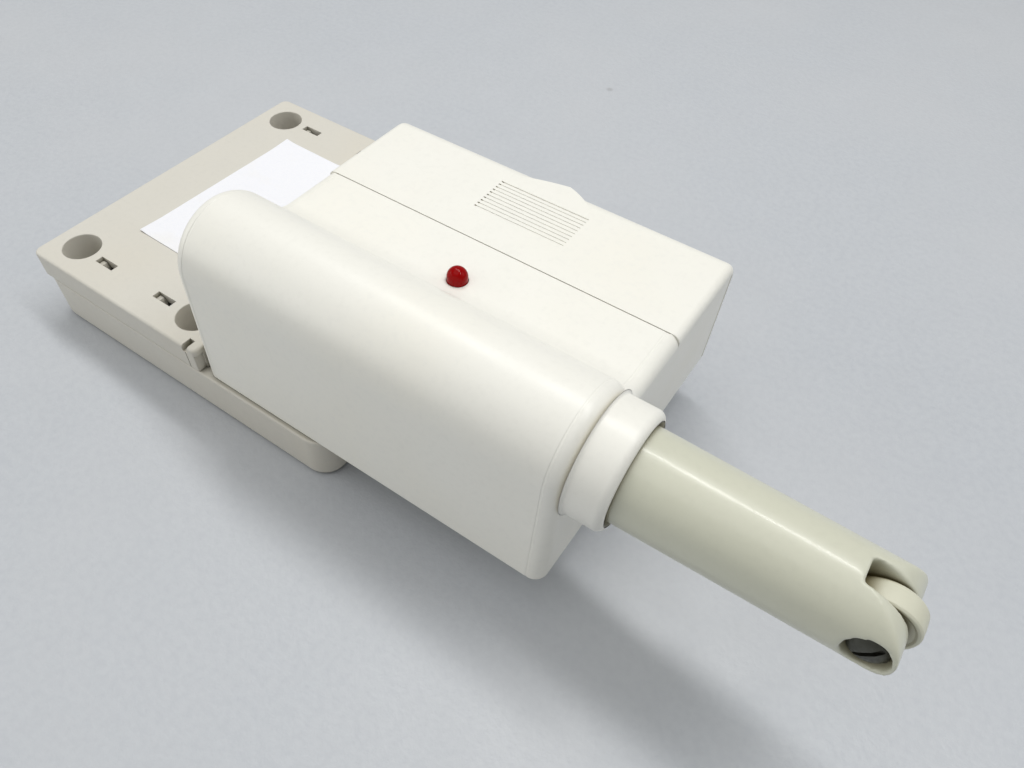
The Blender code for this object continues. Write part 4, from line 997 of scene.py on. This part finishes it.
def make_board_parts():
    """Small parts that fill the two boards."""
    sensor, radio = span("sensor_board"), span("radio_board")
    top = sensor[1].z + 0.01 * MM
    low, high = span("sensor_chip")
    size = (low.x, high.x), (low.y, high.y), (low.z - 0.2 * MM, high.z)
    obj = soft_box("controller_package", *size, 0.12 * MM)
    piece(smooth(obj), "black_plastic", "base", "sensor_chip")
    small = (2.0 * MM, 1.2 * MM, 0.7 * MM)
    places = [(22.0, -6.0), (22.0, -9.0), (24.5, -3.0), (38.0, -12.0)]
    places += [(41.0, -12.0), (44.0, -9.5), (47.0, -6.5), (44.0, -3.5)]
    for k, (x, y) in enumerate(places):
        look = "tinned_metal" if k % 2 else "black_plastic"
        chip(f"small_part_{k + 1}", x * MM, y * MM, top, small, 0, look)
    chip("voltage_regulator", 50.0 * MM, -12.0 * MM, top, (4.2 * MM, 3.2 * MM, 1.3 * MM), 4)
    under = radio[1].z + 0.01 * MM
    chip("radio_controller", -20.0 * MM, 3.0 * MM, under, (5.2 * MM, 4.0 * MM, 1.3 * MM), 5)
    places = [(-24.0, -4.0), (-21.0, -4.0), (-18.0, -4.0), (-24.0, -7.0), (-5.0, -8.0), (-2.0, 15.0)]
    for k, (x, y) in enumerate(places):
        chip(f"base_part_{k + 1}", x * MM, y * MM, under, small)


def make_cell():
    """Cell with a shrunk sleeve that laps its crimped steel ends, and a raised contact."""
    low, high = CELL
    centre = ((low.y + high.y) / 2, (low.z + high.z) / 2)
    r = (high.z - low.z) / 2
    nub = high.x
    shoulder = high.x - 1.5 * MM
    can = [(0, low.x), (r - 0.9 * MM, low.x), (r - 0.5 * MM, low.x + 0.3 * MM)]
    can += [(r - 0.25 * MM, low.x + 0.8 * MM), (r - 0.25 * MM, shoulder - 0.8 * MM)]
    can += [(r - 0.6 * MM, shoulder - 0.1 * MM), (r - 1.5 * MM, shoulder - 0.1 * MM)]
    can += [(2.9 * MM, shoulder - 0.3 * MM), (2.7 * MM, nub - 0.2 * MM), (2.4 * MM, nub), (0, nub)]
    piece(smooth(turned("cell_can", can, "X", centre, 72), 35), "steel", "base")
    sleeve = [(r - 1.5 * MM, low.x + 0.02 * MM), (r - 0.3 * MM, low.x + 0.05 * MM), (r, low.x + 0.5 * MM)]
    sleeve += [(r, shoulder - 0.5 * MM), (r - 0.3 * MM, shoulder), (r - 1.4 * MM, shoulder)]
    sleeve += [(r - 1.4 * MM, shoulder - 0.12 * MM), (r - 0.5 * MM, shoulder - 0.2 * MM)]
    sleeve += [(r - 0.2 * MM, shoulder - 0.7 * MM), (r - 0.2 * MM, low.x + 0.7 * MM)]
    sleeve += [(r - 0.4 * MM, low.x + 0.2 * MM), (r - 1.5 * MM, low.x + 0.14 * MM)]
    piece(smooth(turned("cell_sleeve", sleeve, "X", centre, 72), 35), "cell_wrap", "base", "battery_cell")


# ---------------------------------------------------------------- stage, light and camera


CAMERA_PLACE, CAMERA_TARGET = (87.1 * MM, -70.6 * MM, 101.2 * MM), (45.5 * MM, -4.7 * MM, 0.0)
CAMERA_ROLL, CAMERA_LENS, CAMERA_SHIFT = math.radians(3.1), 26.7, (0.020, 0.032)


def make_floor():
    """Pale laminate table top with a fine pebbled finish."""
    look = Surface("table_laminate", (0.52, 0.54, 0.575), 0.42, Specular_IOR_Level=0.4)
    look.tint((0.47, 0.49, 0.53), look.noise(1.2 * MM, 5.0), 0.4, 0.7, 0.6)
    look.tint((0.55, 0.56, 0.585), look.noise(60 * MM, 3.0), 0.4, 0.7, 0.5)
    look.specks((0.36, 0.36, 0.37), 9 * MM, 0.05)
    look.gloss(look.noise(8 * MM, 4.0), 0.35, 0.7, 0.36, 0.5)
    look.relief(look.noise(0.7 * MM, 4.0), 0.12 * MM, 0.55)
    half, count = 0.9, 24
    bm = bmesh.new()
    bmesh.ops.create_grid(bm, x_segments=count, y_segments=count, size=half)
    floor = mesh_object("table_top", bm)
    floor.location.z = -0.02 * MM
    floor.data.materials.append(look.done())


def area_light(name, place, target, size, power, colour=(1.0, 1.0, 1.0)):
    light = bpy.data.lights.new(name, "AREA")
    light.shape = "RECTANGLE"
    light.size, light.size_y = size
    light.energy = power
    light.color = colour
    obj = bpy.data.objects.new(name, light)
    obj.location = place
    obj.rotation_euler = (Vector(target) - Vector(place)).to_track_quat("-Z", "Y").to_euler()
    bpy.context.scene.collection.objects.link(obj)


def make_lights():
    target = (0.03, 0.0, 0.02)
    area_light("ceiling", (-0.06, -0.02, 0.75), target, (1.0, 0.7), 1.80, (1.0, 0.99, 0.98))
    area_light("window", (0.55, 0.35, 0.40), target, (0.4, 0.4), 0.35, (0.96, 0.98, 1.0))
    area_light("strip", (0.06, 0.16, 0.50), target, (0.7, 0.045), 1.5, (1.0, 1.0, 0.98))
    area_light("fill", (-0.34, -0.26, 0.16), (0.0, -0.02, 0.0), (0.4, 0.25), 0.52, (1.0, 1.0, 0.95))
    world = bpy.data.worlds.new("room")
    world.use_nodes = True
    light = world.node_tree.nodes["Background"].inputs
    light["Color"].default_value = (0.96, 0.98, 0.96, 1.0)
    light["Strength"].default_value = 0.36
    bpy.context.scene.world = world


def make_camera():
    """Wide lens close above the plunger's side, turned a little about its own axis."""
    camera = bpy.data.cameras.new("camera")
    camera.lens = CAMERA_LENS
    camera.sensor_width = 36.0
    camera.shift_x, camera.shift_y = CAMERA_SHIFT
    camera.clip_start = 0.005
    obj = bpy.data.objects.new("camera", camera)
    ahead = (Vector(CAMERA_TARGET) - Vector(CAMERA_PLACE)).normalized()
    level = ahead.to_track_quat("-Z", "Y").to_matrix().to_4x4()
    obj.matrix_world = Matrix.Translation(CAMERA_PLACE) @ level @ Matrix.Rotation(CAMERA_ROLL, 4, "Z")
    bpy.context.scene.collection.objects.link(obj)
    bpy.context.scene.camera = obj
    bpy.context.scene.view_settings.view_transform = "Standard"


dress_cad_nodes()
make_tray()
make_cover()
make_label()
make_housing()
make_door()
make_collar()
make_tube()
make_roller()
make_pin()
make_springs()
make_lamp()
make_board_parts()
make_cell()
make_floor()
make_lights()
make_camera()
